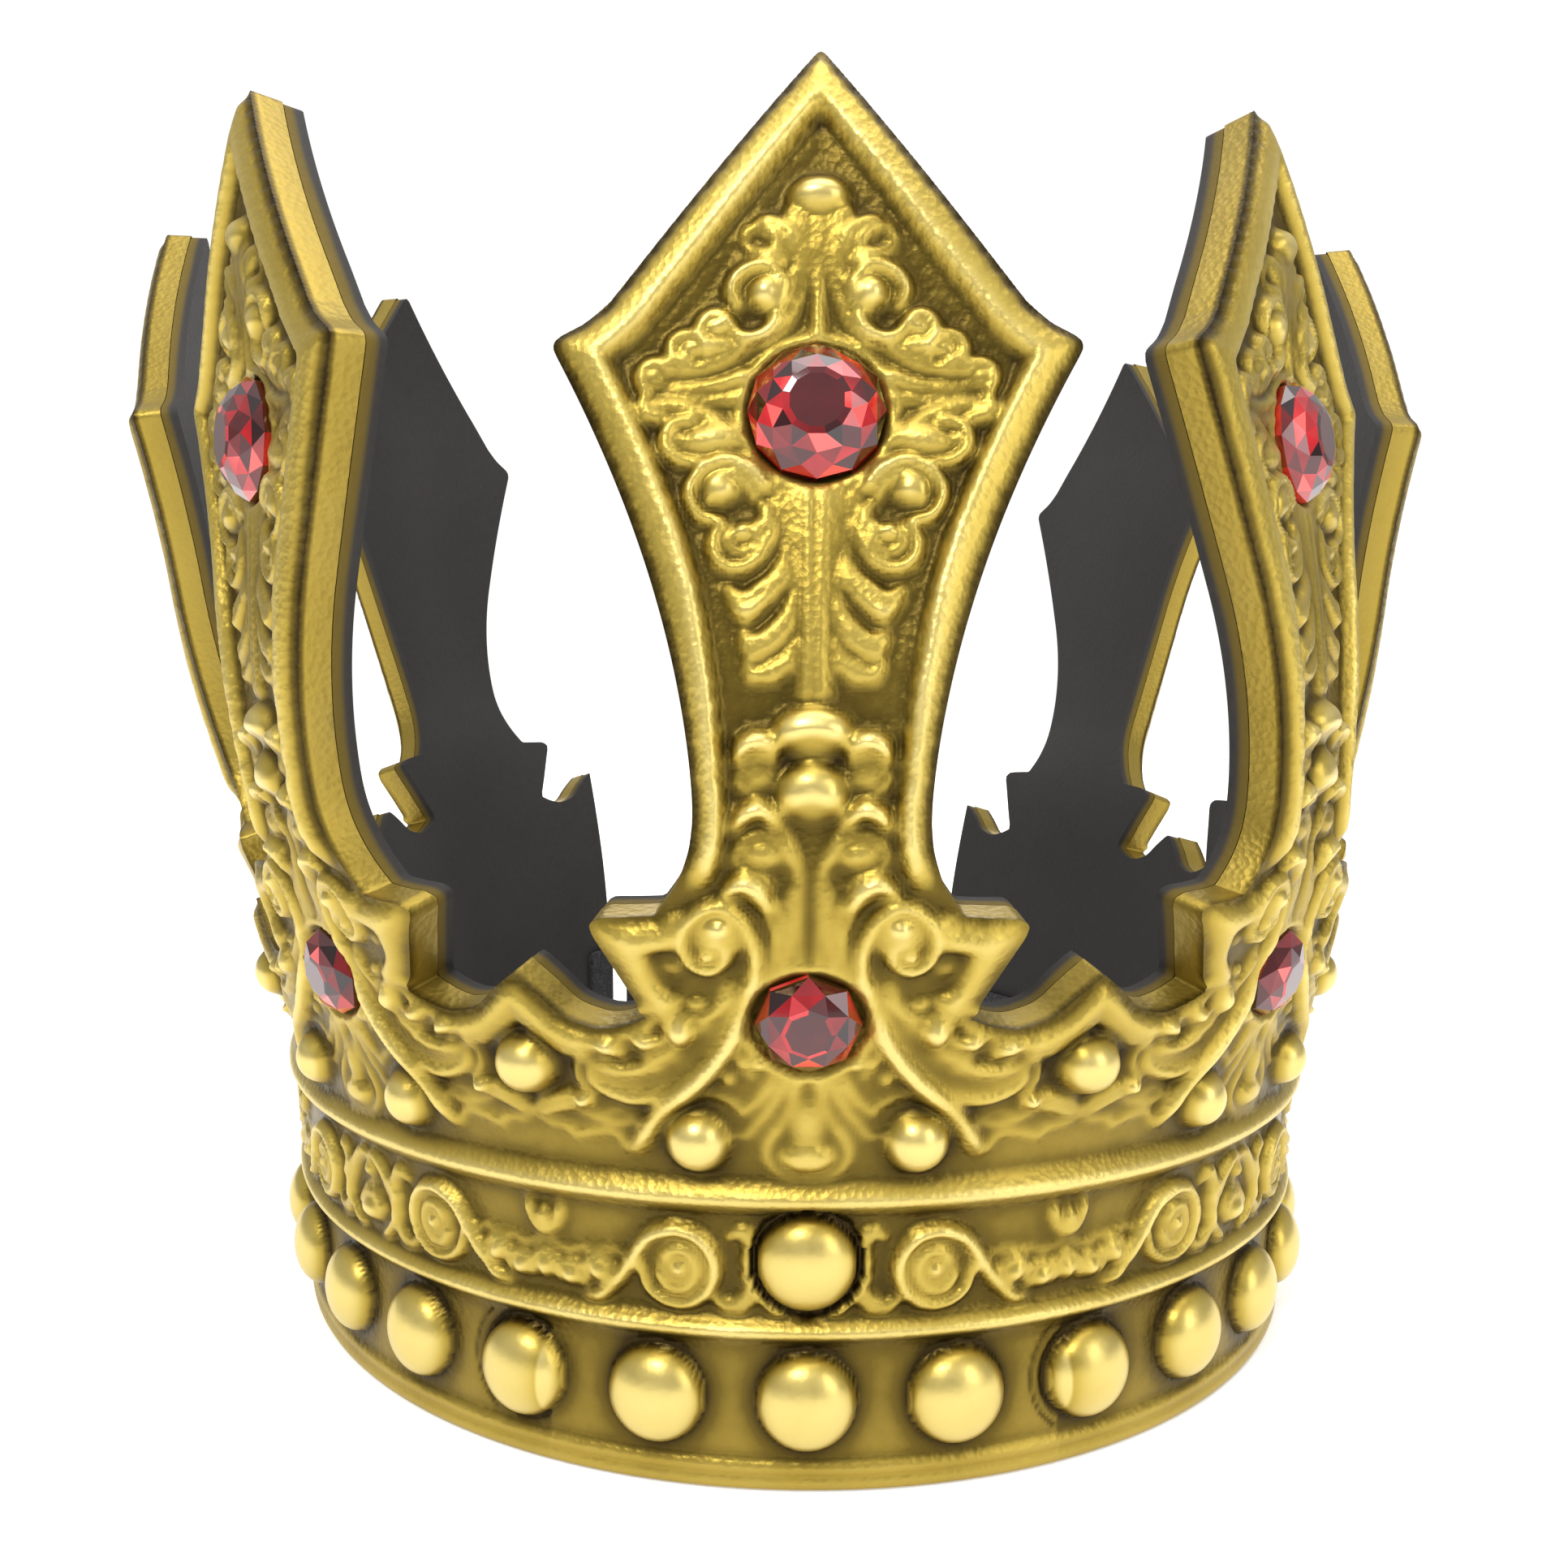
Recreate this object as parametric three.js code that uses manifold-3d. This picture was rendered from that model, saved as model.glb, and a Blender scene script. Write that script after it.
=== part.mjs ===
// A costume crown: a moulded foam strip bent into an open ring, with seven tall
// spires, cut gems glued into seats, and a short strap that closes the gap at the back.
// Millimetres, +Z up. The front of the crown faces -Y.
//
// The strip is laid out flat first. s runs along it, h up it, and t out of its face.
// bend() then wraps a flat point (s, h, t) onto the ring.
import * as THREE from "three";
import { mergeVertices } from "three/addons/utils/BufferGeometryUtils.js";
import Module from "manifold-3d";

// ---- The strip, laid flat ----
const SPIRES = 7;
const PITCH = 84; // from one spire's centre line to the next
const FACE = 5; // thickness of the gold relief layer
const GLUE = 0.3; // between two layers or pieces that are stuck together
const BACKING = 3; // thickness of the black foam behind it

// ---- Heights up the strip ----
const RIB_LOW = 25.8; // middle of the lower rib
const RIB_HIGH = 47.4; // middle of the upper rib
const RIB_WIDTH = 5.4;
const RIB_RISE = 1.6;
const BAND_TOP = 70; // the band is a plain ring up to here

// ---- The outline between two spires: a valley on each side of a gable ----
const GABLE_HEIGHT = 82.3;
const VALLEY_HEIGHT = 74.4;
const VALLEY_FROM_GABLE = 12.5;
const LEAF_ROOT_WIDTH = 22.3; // half width of a spire where its leaf leaves the band
const LEAF_ROOT_HEIGHT = 76.8;

// ---- The spire ----
const LEAF_TIP_WIDTH = 30; // half widths from here on
const LEAF_TIP_HEIGHT = 91.3;
const LEAF_TOP_WIDTH = 20.8;
const LEAF_THICKNESS = 1.3; // rise of the leaf's upper edge from its tip to the spire
const NECK_WIDTH = 16.9;
const NECK_HEIGHT = 106;
const CORNER_WIDTH = 38.2;
const CORNER_HEIGHT = 176;
const SHOULDER_WIDTH = 30.2; // where the straight slope to the tip begins
const SHOULDER_RISE = 6.3;
const TIP_HEIGHT = 222;
const TIP_WIDTH = 0.6; // the tip is blunt by this much
const FRAME_CREST = 5; // from a spire's edge in to the crest of its raised frame
const FRAME_RISE = 1.6;
const FRAME_POINT = 14; // from the tip down to the point of the field

// ---- How the strip is bent: its turn in degrees is a polynomial of s / (half length) ----
const TURN = [169.5, 15.8, -39.6, -19.5];
const LEFT_LIFT = 9.6; // how far the strip's left end rides up
const LIFT_FROM = 101; // distance along the strip from the front where that starts
const SPIRE_FLATNESS = 0.1; // a spire keeps this share of the ring's curvature
const FLAT_FROM = 70; // heights between which a spire leaves the ring's curve
const FLAT_TO = 110;
const WIDE_FROM = 92; // heights between which its widest points leave that curve too
const WIDE_TO = 112;
// Outward lean in degrees at these heights, the same all round.
const LEAN = [
  [0, 0],
  [21, 0],
  [63, 11.9],
  [97, 17.9],
  [143, -0.2],
  [189, 4.8],
  [235, -9.7],
];
// Each spire's own extra lean, as the soft foam stands, from the left end round.
const SPIRE_LEAN = [3.9, 4.6, -2.8, -13.6, -10.1, 0, 10.8];
const LEAN_FROM = 67; // heights between which that extra lean sets in
const LEAN_TO = 109;
// Each spire's own turn about the upright, and its tilt along the strip, in degrees.
const SPIRE_TWIST = [3.4, 1.8, -9.1, -0.5, 5.6, -0.8, -7];
const SPIRE_TILT = [1.5, -3.1, -2.8, 0.6, 0.7, 3.5, 8.3];

// ---- Domes moulded into the face ----
const BALL_RADIUS = 8;
const BALL_HEIGHT = 15.5;
const BALL_COUNT = 25; // evenly spaced along the strip
const FRONT_BALL_RADIUS = 7.8;
const FRONT_BALL_HEIGHT = 36.9;
const DOME_ROOT = 1.5; // how deep a dome is rooted in the face
const DOME_SIDES = 8;

// ---- Gems ----
const SPIRE_GEM = { radius: 10, height: 165.5, thickness: 6.4 };
const BAND_GEM = { radius: 8, height: 76.2, thickness: 4.2 };
const GEM_GIRDLE = 1.4; // thickness of the gem's straight edge
const GEM_TABLE = 0.55; // the table's share of the gem's width
const SEAT_DEPTH = 0.9;
const SEAT_CLEARANCE = 0.3;
const GEM_SIDES = 14;

// ---- The closure at the back ----
const STRAP_WIDTH = 26;
const STRAP_LENGTH = 80;
const STRAP_THICKNESS = 1.6;
const STRAP_HEIGHT = 16; // middle of the strap above the strip's lower edge
const HINGE_GAP = 4.6; // from the strip's end to the line that the strap swings about
const STRAP_ROOT = 1; // from that line to the strap's own end
const PATCH_LENGTH = 9; // patch on the strip's inner face, over the strap's root
const PATCH_THICKNESS = 1.2;
const PATCH_MARGIN = 1.5; // the patches are wider than the strap by this on each edge
const SLEEVE_LENGTH = 7; // reinforcement round the strap's root
const HOOK_LENGTH = 30;
const HOOK_THICKNESS = 1.3;
const LOOP_LENGTH = 36;
const PAD_FROM_END = 5;

const deg = THREE.MathUtils.degToRad;
const { smoothstep, lerp } = THREE.MathUtils;
const HALF_PITCH = PITCH / 2;
const HALF_LENGTH = (SPIRES * PITCH) / 2;
const LAST_SPIRE = (SPIRES - 1) / 2;
const FRONT_OF_BACKING = -FACE - GLUE;
const INNER_FACE = -FACE - GLUE - BACKING;

// ---- Bending ----
const turnAt = (s) => {
  const u = s / HALF_LENGTH;
  return deg(TURN.reduce((sum, value, k) => sum + value * u ** (k + 1), 0));
};
const curvatureAt = (s) => {
  const u = s / HALF_LENGTH;
  const slope = TURN.reduce((sum, value, k) => sum + value * (k + 1) * u ** k, 0);
  return deg(slope) / HALF_LENGTH;
};

// The ring's plan curve, added up in short steps from the front.
const STEP = 0.25;
const walk = (direction) => {
  const points = [new THREE.Vector2(0, -1 / curvatureAt(0))];
  for (let s = 0; s < HALF_LENGTH + PITCH; s += STEP) {
    const turn = turnAt(direction * (s + STEP / 2));
    const move = new THREE.Vector2(Math.cos(turn), Math.sin(turn));
    points.push(points.at(-1).clone().addScaledVector(move, direction * STEP));
  }
  return points;
};
const PLAN = { right: walk(1), left: walk(-1) };
function planPoint(s) {
  const side = s < 0 ? PLAN.left : PLAN.right;
  const place = Math.abs(s) / STEP;
  const k = Math.floor(place);
  return side[k].clone().lerp(side[k + 1], place - k);
}

// The upright profile: lean, distance out and height, added up in short steps.
function leanAt(h) {
  const next = Math.max(
    1,
    LEAN.findIndex(([height]) => height > h),
  );
  const [h0, lean0] = LEAN[next - 1];
  const [h1, lean1] = LEAN[next];
  return deg(lerp(lean0, lean1, (h - h0) / (h1 - h0)));
}
function profile(extra) {
  const rows = [{ lean: leanAt(0), out: 0, up: 0 }];
  for (let h = 0; h < TIP_HEIGHT + STEP; h += STEP) {
    const middle = h + STEP / 2;
    const lean = leanAt(middle) + deg(extra) * smoothstep(middle, LEAN_FROM, LEAN_TO);
    const last = rows.at(-1);
    rows.push({
      lean,
      out: last.out + STEP * Math.sin(lean),
      up: last.up + STEP * Math.cos(lean),
    });
  }
  return (height) => {
    const place = height / STEP;
    const k = Math.min(Math.floor(place), rows.length - 2);
    const at = (key) => lerp(rows[k][key], rows[k + 1][key], place - k);
    return { lean: at("lean"), out: at("out"), up: at("up") };
  };
}
const bandProfile = profile(0);
const spireProfiles = SPIRE_LEAN.map(profile);

const liftAt = (s) =>
  s < 0 ? LEFT_LIFT * smoothstep(-s, LIFT_FROM, HALF_LENGTH) : 0;

// A flat point of spire `spire` (-3 to 3), w from its centre line, on the bent strip.
function bend(spire, w, h, t) {
  const centre = spire * PITCH;
  const s = centre + w;
  const atGable = smoothstep(Math.abs(w), LEAF_ROOT_WIDTH, HALF_PITCH);
  const free = smoothstep(h, FLAT_FROM, FLAT_TO);
  const apart = free * (1 - atGable * (1 - smoothstep(h, WIDE_FROM, WIDE_TO)));
  const band = bandProfile(h);
  const own = spireProfiles[spire + LAST_SPIRE](h);

  const turn = turnAt(s);
  const out = new THREE.Vector2(Math.sin(turn), -Math.cos(turn));
  const ring = planPoint(s).addScaledVector(out, band.out);

  const turn0 = turnAt(centre);
  const out0 = new THREE.Vector2(Math.sin(turn0), -Math.cos(turn0));
  const twisted = turn0 + deg(SPIRE_TWIST[spire + LAST_SPIRE]);
  const facing0 = new THREE.Vector2(Math.sin(twisted), -Math.cos(twisted));
  const along0 = new THREE.Vector2(Math.cos(twisted), Math.sin(twisted));
  const aside = Math.tan(deg(SPIRE_TILT[spire + LAST_SPIRE])) * (h - FLAT_FROM) * free;
  const curvature = curvatureAt(centre) * SPIRE_FLATNESS;
  const flat = planPoint(centre)
    .addScaledVector(out0, own.out)
    .addScaledVector(facing0, (-curvature * w * w) / 2)
    .addScaledVector(along0, w + aside);

  const place = ring.lerp(flat, apart);
  const facing = facing0.addScaledVector(along0, curvature * w);
  const normal = out.lerp(facing, apart).normalize();
  const lean = lerp(band.lean, own.lean, apart);
  const up = lerp(band.up + liftAt(s), own.up + liftAt(centre), apart);
  return new THREE.Vector3(
    place.x + normal.x * Math.cos(lean) * t,
    place.y + normal.y * Math.cos(lean) * t,
    up - Math.sin(lean) * t,
  );
}

// ---- The strip's layers ----
// The half width of a spire at the heights where its outline turns or curves.
const flank = (share) => {
  // the concave side between the neck and the corner
  const rise = CORNER_HEIGHT - 2 - NECK_HEIGHT;
  return [
    lerp(NECK_WIDTH, CORNER_WIDTH - 0.4, share ** 1.75),
    NECK_HEIGHT + rise * share,
  ];
};
const slope = (share) => [
  lerp(SHOULDER_WIDTH, TIP_WIDTH, share),
  lerp(CORNER_HEIGHT + SHOULDER_RISE, TIP_HEIGHT, share),
];
const SPIRE_OUTLINE = [
  [LEAF_ROOT_WIDTH, BAND_TOP],
  [LEAF_ROOT_WIDTH, LEAF_ROOT_HEIGHT],
  [LEAF_TIP_WIDTH, LEAF_TIP_HEIGHT],
  [LEAF_TOP_WIDTH, LEAF_TIP_HEIGHT + LEAF_THICKNESS],
  [lerp(LEAF_TOP_WIDTH, NECK_WIDTH, 0.75), lerp(LEAF_TIP_HEIGHT, NECK_HEIGHT, 0.5)],
  ...[0, 0.2, 0.45, 0.7, 1].map(flank),
  [CORNER_WIDTH, CORNER_HEIGHT],
  ...[0, 0.62, 1].map(slope),
];
const VALLEY = HALF_PITCH - VALLEY_FROM_GABLE;
const ROOF_LINE = [
  [LEAF_ROOT_WIDTH, LEAF_ROOT_HEIGHT],
  [VALLEY, VALLEY_HEIGHT],
  [lerp(VALLEY, HALF_PITCH, 0.45), lerp(VALLEY_HEIGHT, GABLE_HEIGHT, 0.28)],
  [HALF_PITCH, GABLE_HEIGHT],
];

// Columns across a spire: its edges, its frame's crests and the middle.
function spireColumns(edge) {
  const crest = Math.max(edge - FRAME_CREST, edge * 0.3);
  return [-edge, -crest, 0, crest, edge];
}
const MIDDLE = 2;
const CRESTS = [1, 3];

const ribRows = (rib) => [rib - RIB_WIDTH / 2, rib, rib + RIB_WIDTH / 2];

// How far the gold face stands out at a flat point: the ribs and the spires' frames.
function faceRise({ h, column }) {
  if (h === RIB_LOW || h === RIB_HIGH) return RIB_RISE;
  const aboveField = h > TIP_HEIGHT - FRAME_POINT && column === MIDDLE;
  return h > NECK_HEIGHT && (CRESTS.includes(column) || aboveField) ? FRAME_RISE : 0;
}

// The strip's cells in flat coordinates, four corners each. Every layer has the same
// cells, so that two layers keep the same gap all over.
function stripCells() {
  const cells = [];
  const strip = (rows) => {
    for (let r = 0; r + 1 < rows.length; r++) {
      for (let c = 0; c + 1 < rows[r].length; c++) {
        cells.push([rows[r][c], rows[r][c + 1], rows[r + 1][c + 1], rows[r + 1][c]]);
      }
    }
  };
  for (let spire = -LAST_SPIRE; spire <= LAST_SPIRE; spire++) {
    const place = ([w, h], column) => ({ spire, w, h, column });
    strip(SPIRE_OUTLINE.map(([edge, h]) => spireColumns(edge).map((w, c) => place([w, h], c))));
    for (const side of [-1, 1]) {
      const foot = ROOF_LINE.map(([w]) => place([side * w, BAND_TOP], -1));
      const roof = ROOF_LINE.map(([w, h]) => place([side * w, h], -1));
      strip(side > 0 ? [foot, roof] : [foot.reverse(), roof.reverse()]);
    }
    const across = [
      ...ROOF_LINE.map(([w]) => -w).reverse(),
      ...spireColumns(LEAF_ROOT_WIDTH).slice(1, -1),
      ...ROOF_LINE.map(([w]) => w),
    ];
    const bandRows = [0, ...ribRows(RIB_LOW), ...ribRows(RIB_HIGH), BAND_TOP];
    strip(bandRows.map((h) => across.map((w) => place([w, h], -1))));
  }
  return cells;
}

// A closed layer of the strip between two depths, each a function of a flat point.
function layer(cells, outer, inner) {
  const ids = new Map();
  const points = [];
  const idOf = (p) => {
    const key = `${Math.round((p.spire * PITCH + p.w) * 100)},${Math.round(p.h * 100)}`;
    if (!ids.has(key)) {
      ids.set(key, points.length);
      points.push(p);
    }
    return ids.get(key);
  };
  const triangles = [];
  for (const cell of cells) {
    const [a, b, c, d] = cell.map(idOf);
    triangles.push([a, b, c], [a, c, d]);
  }
  const count = points.length;
  const index = [];
  const edges = new Set();
  for (const [a, b, c] of triangles) {
    index.push(a, b, c, count + a, count + c, count + b);
    edges.add(`${a},${b}`).add(`${b},${c}`).add(`${c},${a}`);
  }
  for (const edge of edges) {
    const [a, b] = edge.split(",").map(Number);
    if (!edges.has(`${b},${a}`)) index.push(a, count + a, count + b, a, count + b, b);
  }
  const place = (depth) => points.map((p) => bend(p.spire, p.w, p.h, depth(p)));
  const geometry = new THREE.BufferGeometry().setFromPoints([
    ...place(outer),
    ...place(inner),
  ]);
  geometry.setIndex(index);
  return geometry;
}

const faceGeometry = layer(stripCells(), faceRise, () => -FACE);
const backingGeometry = layer(
  stripCells(),
  () => FRONT_OF_BACKING,
  () => INNER_FACE,
);

// ---- Pieces that stand on the strip ----
// Stands a geometry made along +Z on the strip at a flat point, facing out of it.
function standOn(geometry, spire, w, h, t) {
  const origin = bend(spire, w, h, t);
  const out = bend(spire, w, h, t + 1).sub(origin);
  const up = bend(spire, w, h + 1, t).sub(bend(spire, w, h - 1, t));
  const side = new THREE.Vector3().crossVectors(up, out).normalize();
  up.crossVectors(out, side).normalize();
  const basis = new THREE.Matrix4().makeBasis(side, up, out.normalize());
  return geometry.clone().applyMatrix4(basis.setPosition(origin));
}
// Closed bodies of revolution about +Z, from (radius, height) points.
function turned(points, sides) {
  const outline = points.map(([r, z]) => new THREE.Vector2(r, z));
  return new THREE.LatheGeometry(outline, sides).rotateX(Math.PI / 2);
}
function dome(radius) {
  const bulge = radius * Math.SQRT1_2;
  const arc = [[radius, 0], [bulge, bulge], [0, radius]];
  return turned([[0, -DOME_ROOT], [radius, -DOME_ROOT], ...arc], DOME_SIDES);
}
function seatCutter({ radius }) {
  const reach = FACE;
  const wide = radius + SEAT_CLEARANCE;
  return turned([[0, -SEAT_DEPTH], [wide, -SEAT_DEPTH], [wide, reach], [0, reach]], GEM_SIDES);
}
function gem({ radius, thickness }) {
  const floor = -SEAT_DEPTH + GLUE;
  const points = [
    [0, floor],
    [radius, floor],
    [radius, floor + GEM_GIRDLE],
    [radius * ((1 + GEM_TABLE) / 2), floor + lerp(GEM_GIRDLE, thickness, 0.72)],
    [radius * GEM_TABLE, floor + thickness],
    [0, floor + thickness],
  ];
  return turned(points, GEM_SIDES);
}

// ---- Joining and cutting ----
const wasm = await Module();
wasm.setup();
function toSolid(geometry) {
  const bare = geometry.clone();
  for (const name of Object.keys(bare.attributes)) {
    if (name !== "position") bare.deleteAttribute(name);
  }
  const merged = mergeVertices(bare, 1e-3);
  return new wasm.Manifold(
    new wasm.Mesh({
      numProp: 3,
      vertProperties: merged.attributes.position.array,
      triVerts: new Uint32Array(merged.index.array),
    }),
  );
}
function toGeometry(solid) {
  const mesh = solid.getMesh();
  return new THREE.BufferGeometry()
    .setAttribute("position", new THREE.BufferAttribute(mesh.vertProperties, 3))
    .setIndex(new THREE.BufferAttribute(mesh.triVerts, 1));
}

function finishedFace() {
  let face = toSolid(faceGeometry);
  const add = (geometry) => {
    face = face.add(toSolid(geometry));
  };
  const spacing = (2 * HALF_LENGTH) / BALL_COUNT;
  const lastBall = (BALL_COUNT - 1) / 2;
  const onBand = (s) => {
    const spire = Math.max(-LAST_SPIRE, Math.min(LAST_SPIRE, Math.round(s / PITCH)));
    return [spire, s - spire * PITCH];
  };
  for (let k = -lastBall; k <= lastBall; k++) {
    add(standOn(dome(BALL_RADIUS), ...onBand(k * spacing), BALL_HEIGHT, 0));
  }
  add(standOn(dome(FRONT_BALL_RADIUS), 0, 0, FRONT_BALL_HEIGHT, 0));
  for (let spire = -LAST_SPIRE; spire <= LAST_SPIRE; spire++) {
    for (const stone of [SPIRE_GEM, BAND_GEM]) {
      const cutter = standOn(seatCutter(stone), spire, 0, stone.height, 0);
      face = face.subtract(toSolid(cutter));
    }
  }
  return toGeometry(face);
}

// ---- The closure ----
// A pad that follows the strip's inner face between two places along it.
function innerPad(from, to, thickness) {
  const count = 4; // cells each way
  const half = STRAP_WIDTH / 2 + PATCH_MARGIN;
  const spire = Math.sign(from + to) * LAST_SPIRE;
  const at = (column, row) => ({
    spire,
    w: lerp(from, to, column / count) - spire * PITCH,
    h: STRAP_HEIGHT + lerp(-half, half, row / count),
  });
  const cells = [];
  for (let c = 0; c < count; c++) {
    for (let r = 0; r < count; r++) {
      cells.push([at(c, r), at(c + 1, r), at(c + 1, r + 1), at(c, r + 1)]);
    }
  }
  return layer(
    cells,
    () => INNER_FACE - GLUE,
    () => INNER_FACE - GLUE - thickness,
  );
}

// The strap hangs in a group whose origin is its pivot at the strip's left end, with
// +X pointing along the strap to the other end of the strip.
const strapDepth = INNER_FACE - GLUE - PATCH_THICKNESS / 2;
const pivot = bend(-LAST_SPIRE, -HALF_PITCH - HINGE_GAP, STRAP_HEIGHT, strapDepth);
const target = bend(LAST_SPIRE, HALF_PITCH, STRAP_HEIGHT, strapDepth);
function slab(length, width, thickness, x, y) {
  return new THREE.BoxGeometry(length, thickness, width).translate(x + length / 2, y, 0);
}
function sleeve() {
  // an outer box round the strap's root, open at both ends
  const gap = GLUE;
  const wall = PATCH_THICKNESS;
  const outerWidth = STRAP_WIDTH + 2 * (gap + wall);
  const outerDepth = STRAP_THICKNESS + 2 * (gap + wall);
  const body = slab(SLEEVE_LENGTH, outerWidth, outerDepth, STRAP_ROOT, 0);
  const tunnel = slab(
    SLEEVE_LENGTH + 2,
    STRAP_WIDTH + 2 * gap,
    STRAP_THICKNESS + 2 * gap,
    STRAP_ROOT - 1,
    0,
  );
  return toGeometry(toSolid(body).subtract(toSolid(tunnel)));
}

// ---- Materials ----
const gold = { color: 0xa8902f, metalness: 0.75, roughness: 0.38 };
const blackFoam = { color: 0x26221f, metalness: 0, roughness: 0.85 };
const ruby = { color: 0xb01018, metalness: 0, roughness: 0.05 };
const webbing = { color: 0x2c2a29, metalness: 0, roughness: 0.9 };
const hookTape = { color: 0x0c0c0d, metalness: 0, roughness: 0.95 };

function piece(name, geometry, finish) {
  const mesh = new THREE.Mesh(geometry, new THREE.MeshStandardMaterial(finish));
  mesh.name = name;
  return mesh;
}

const crown = new THREE.Group();
crown.add(piece("crown_face", finishedFace(), gold));
crown.add(piece("crown_backing", backingGeometry, blackFoam));
for (let spire = -LAST_SPIRE; spire <= LAST_SPIRE; spire++) {
  const number = spire + LAST_SPIRE + 1;
  for (const [kind, stone] of [["spire_gem", SPIRE_GEM], ["band_gem", BAND_GEM]]) {
    crown.add(piece(`${kind}_${number}`, standOn(gem(stone), spire, 0, stone.height, 0), ruby));
  }
}
crown.add(
  piece("strap_anchor_patch", innerPad(-HALF_LENGTH, PATCH_LENGTH - HALF_LENGTH, PATCH_THICKNESS), hookTape),
);
const loopEnd = HALF_LENGTH - PAD_FROM_END;
crown.add(piece("loop_pad", innerPad(loopEnd - LOOP_LENGTH, loopEnd, HOOK_THICKNESS), hookTape));

const closure = new THREE.Group();
closure.position.copy(pivot);
closure.rotation.z = Math.atan2(target.y - pivot.y, target.x - pivot.x);
closure.add(
  piece("closure_strap", slab(STRAP_LENGTH, STRAP_WIDTH, STRAP_THICKNESS, STRAP_ROOT, 0), webbing),
);
closure.add(piece("strap_sleeve", sleeve(), hookTape));
const hookDepth = (STRAP_THICKNESS + HOOK_THICKNESS) / 2 + GLUE;
const hookStart = STRAP_ROOT + STRAP_LENGTH - HOOK_LENGTH;
closure.add(
  piece(
    "strap_hook_pad",
    slab(HOOK_LENGTH, STRAP_WIDTH, HOOK_THICKNESS, hookStart, hookDepth),
    hookTape,
  ),
);
crown.add(closure);

// The origin is the middle of the crown's footprint on the surface that it stands on.
const root = new THREE.Group();
root.add(crown);
const middle = new THREE.Box3().setFromObject(crown).getCenter(new THREE.Vector3());
crown.position.set(-middle.x, -middle.y, 0);

export default root;
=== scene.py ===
"""The looks of a costume crown: moulded, gold-painted foam relief on a black foam backing, set with
round rhinestones, and closed at the back by a webbing strap with hook-and-loop pads.

The relief is a height field over one unit of the strip (one spire and its share of the band), drawn
with strokes, domes and pits in millimetres, and bent onto the same surface as the CAD frame.
In the flat strip, s runs along it from the front spire, h up it, and t out of its face.
"""

import math

import bpy
import numpy as np
from mathutils import Matrix, Vector


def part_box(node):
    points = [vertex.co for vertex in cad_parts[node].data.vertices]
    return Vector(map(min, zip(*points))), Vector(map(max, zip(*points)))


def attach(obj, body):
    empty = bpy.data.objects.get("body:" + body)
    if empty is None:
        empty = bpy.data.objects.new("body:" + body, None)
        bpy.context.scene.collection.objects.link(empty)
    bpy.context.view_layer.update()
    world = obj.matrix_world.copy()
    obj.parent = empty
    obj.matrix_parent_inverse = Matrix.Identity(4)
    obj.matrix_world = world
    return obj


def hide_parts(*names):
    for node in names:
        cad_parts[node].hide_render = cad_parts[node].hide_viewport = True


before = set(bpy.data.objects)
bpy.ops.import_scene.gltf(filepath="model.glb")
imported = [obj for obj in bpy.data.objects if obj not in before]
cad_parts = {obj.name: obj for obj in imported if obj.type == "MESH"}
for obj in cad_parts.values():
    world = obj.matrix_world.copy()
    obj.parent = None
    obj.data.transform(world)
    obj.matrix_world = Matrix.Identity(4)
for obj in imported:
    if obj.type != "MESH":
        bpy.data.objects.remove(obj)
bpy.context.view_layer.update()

MM = 0.001

# ---------------------------------------------------------------- the strip, as in the CAD source
SPIRES = 7
PITCH = 84.0
HALF_PITCH = PITCH / 2
HALF_LENGTH = SPIRES * HALF_PITCH
LAST_SPIRE = (SPIRES - 1) // 2
FACE = 5.0
GLUE = 0.3
BACKING = 3.0
TURN = np.radians([169.5, 15.8, -39.6, -19.5])
LEFT_LIFT = 9.6
LIFT_FROM = 101.0
SPIRE_FLATNESS = 0.1
FLAT_FROM, FLAT_TO = 70.0, 110.0
WIDE_FROM, WIDE_TO = 92.0, 112.0
LEAN_HEIGHTS = [0, 21, 63, 97, 143, 189, 235]
LEAN_ANGLES = np.radians([0, 0, 11.9, 17.9, -0.2, 4.8, -9.7])
SPIRE_LEAN = np.radians([3.9, 4.6, -2.8, -13.6, -10.1, 0, 10.8])
SPIRE_TWIST = np.radians([3.4, 1.8, -9.1, -0.5, 5.6, -0.8, -7.0])
SPIRE_TILT = np.radians([1.5, -3.1, -2.8, 0.6, 0.7, 3.5, 8.3])
LEAN_FROM, LEAN_TO = 67.0, 109.0
TIP_HEIGHT = 222.0
LEAF_ROOT_WIDTH = 22.3


def smoothstep(low, high, x):
    share = np.clip((x - low) / (high - low), 0, 1)
    return share * share * (3 - 2 * share)


def running_sum(values, step):
    """The integral of values from the first one on."""
    return np.concatenate([[0], np.cumsum((values[1:] + values[:-1]) / 2 * step)])


# The band's line in plan, as a table along the strip.
PLAN_U = np.linspace(-1, 1, 2801)
PLAN_TURN = sum(a * PLAN_U ** (k + 1) for k, a in enumerate(TURN))
PLAN_STEP = HALF_LENGTH * (PLAN_U[1] - PLAN_U[0])
PLAN_X = running_sum(np.cos(PLAN_TURN), PLAN_STEP)
PLAN_Y = running_sum(np.sin(PLAN_TURN), PLAN_STEP)
PLAN_X -= np.interp(0, PLAN_U, PLAN_X)
PLAN_Y -= np.interp(0, PLAN_U, PLAN_Y) + HALF_LENGTH / TURN[0]

PROFILE_STEP = 0.25
PROFILE_H = np.arange(0, 240 + PROFILE_STEP, PROFILE_STEP)


def plan(s):
    """Position and direction of the band's line at s."""
    u = s / HALF_LENGTH
    return np.interp(u, PLAN_U, PLAN_X), np.interp(u, PLAN_U, PLAN_Y), np.interp(u, PLAN_U, PLAN_TURN)


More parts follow.
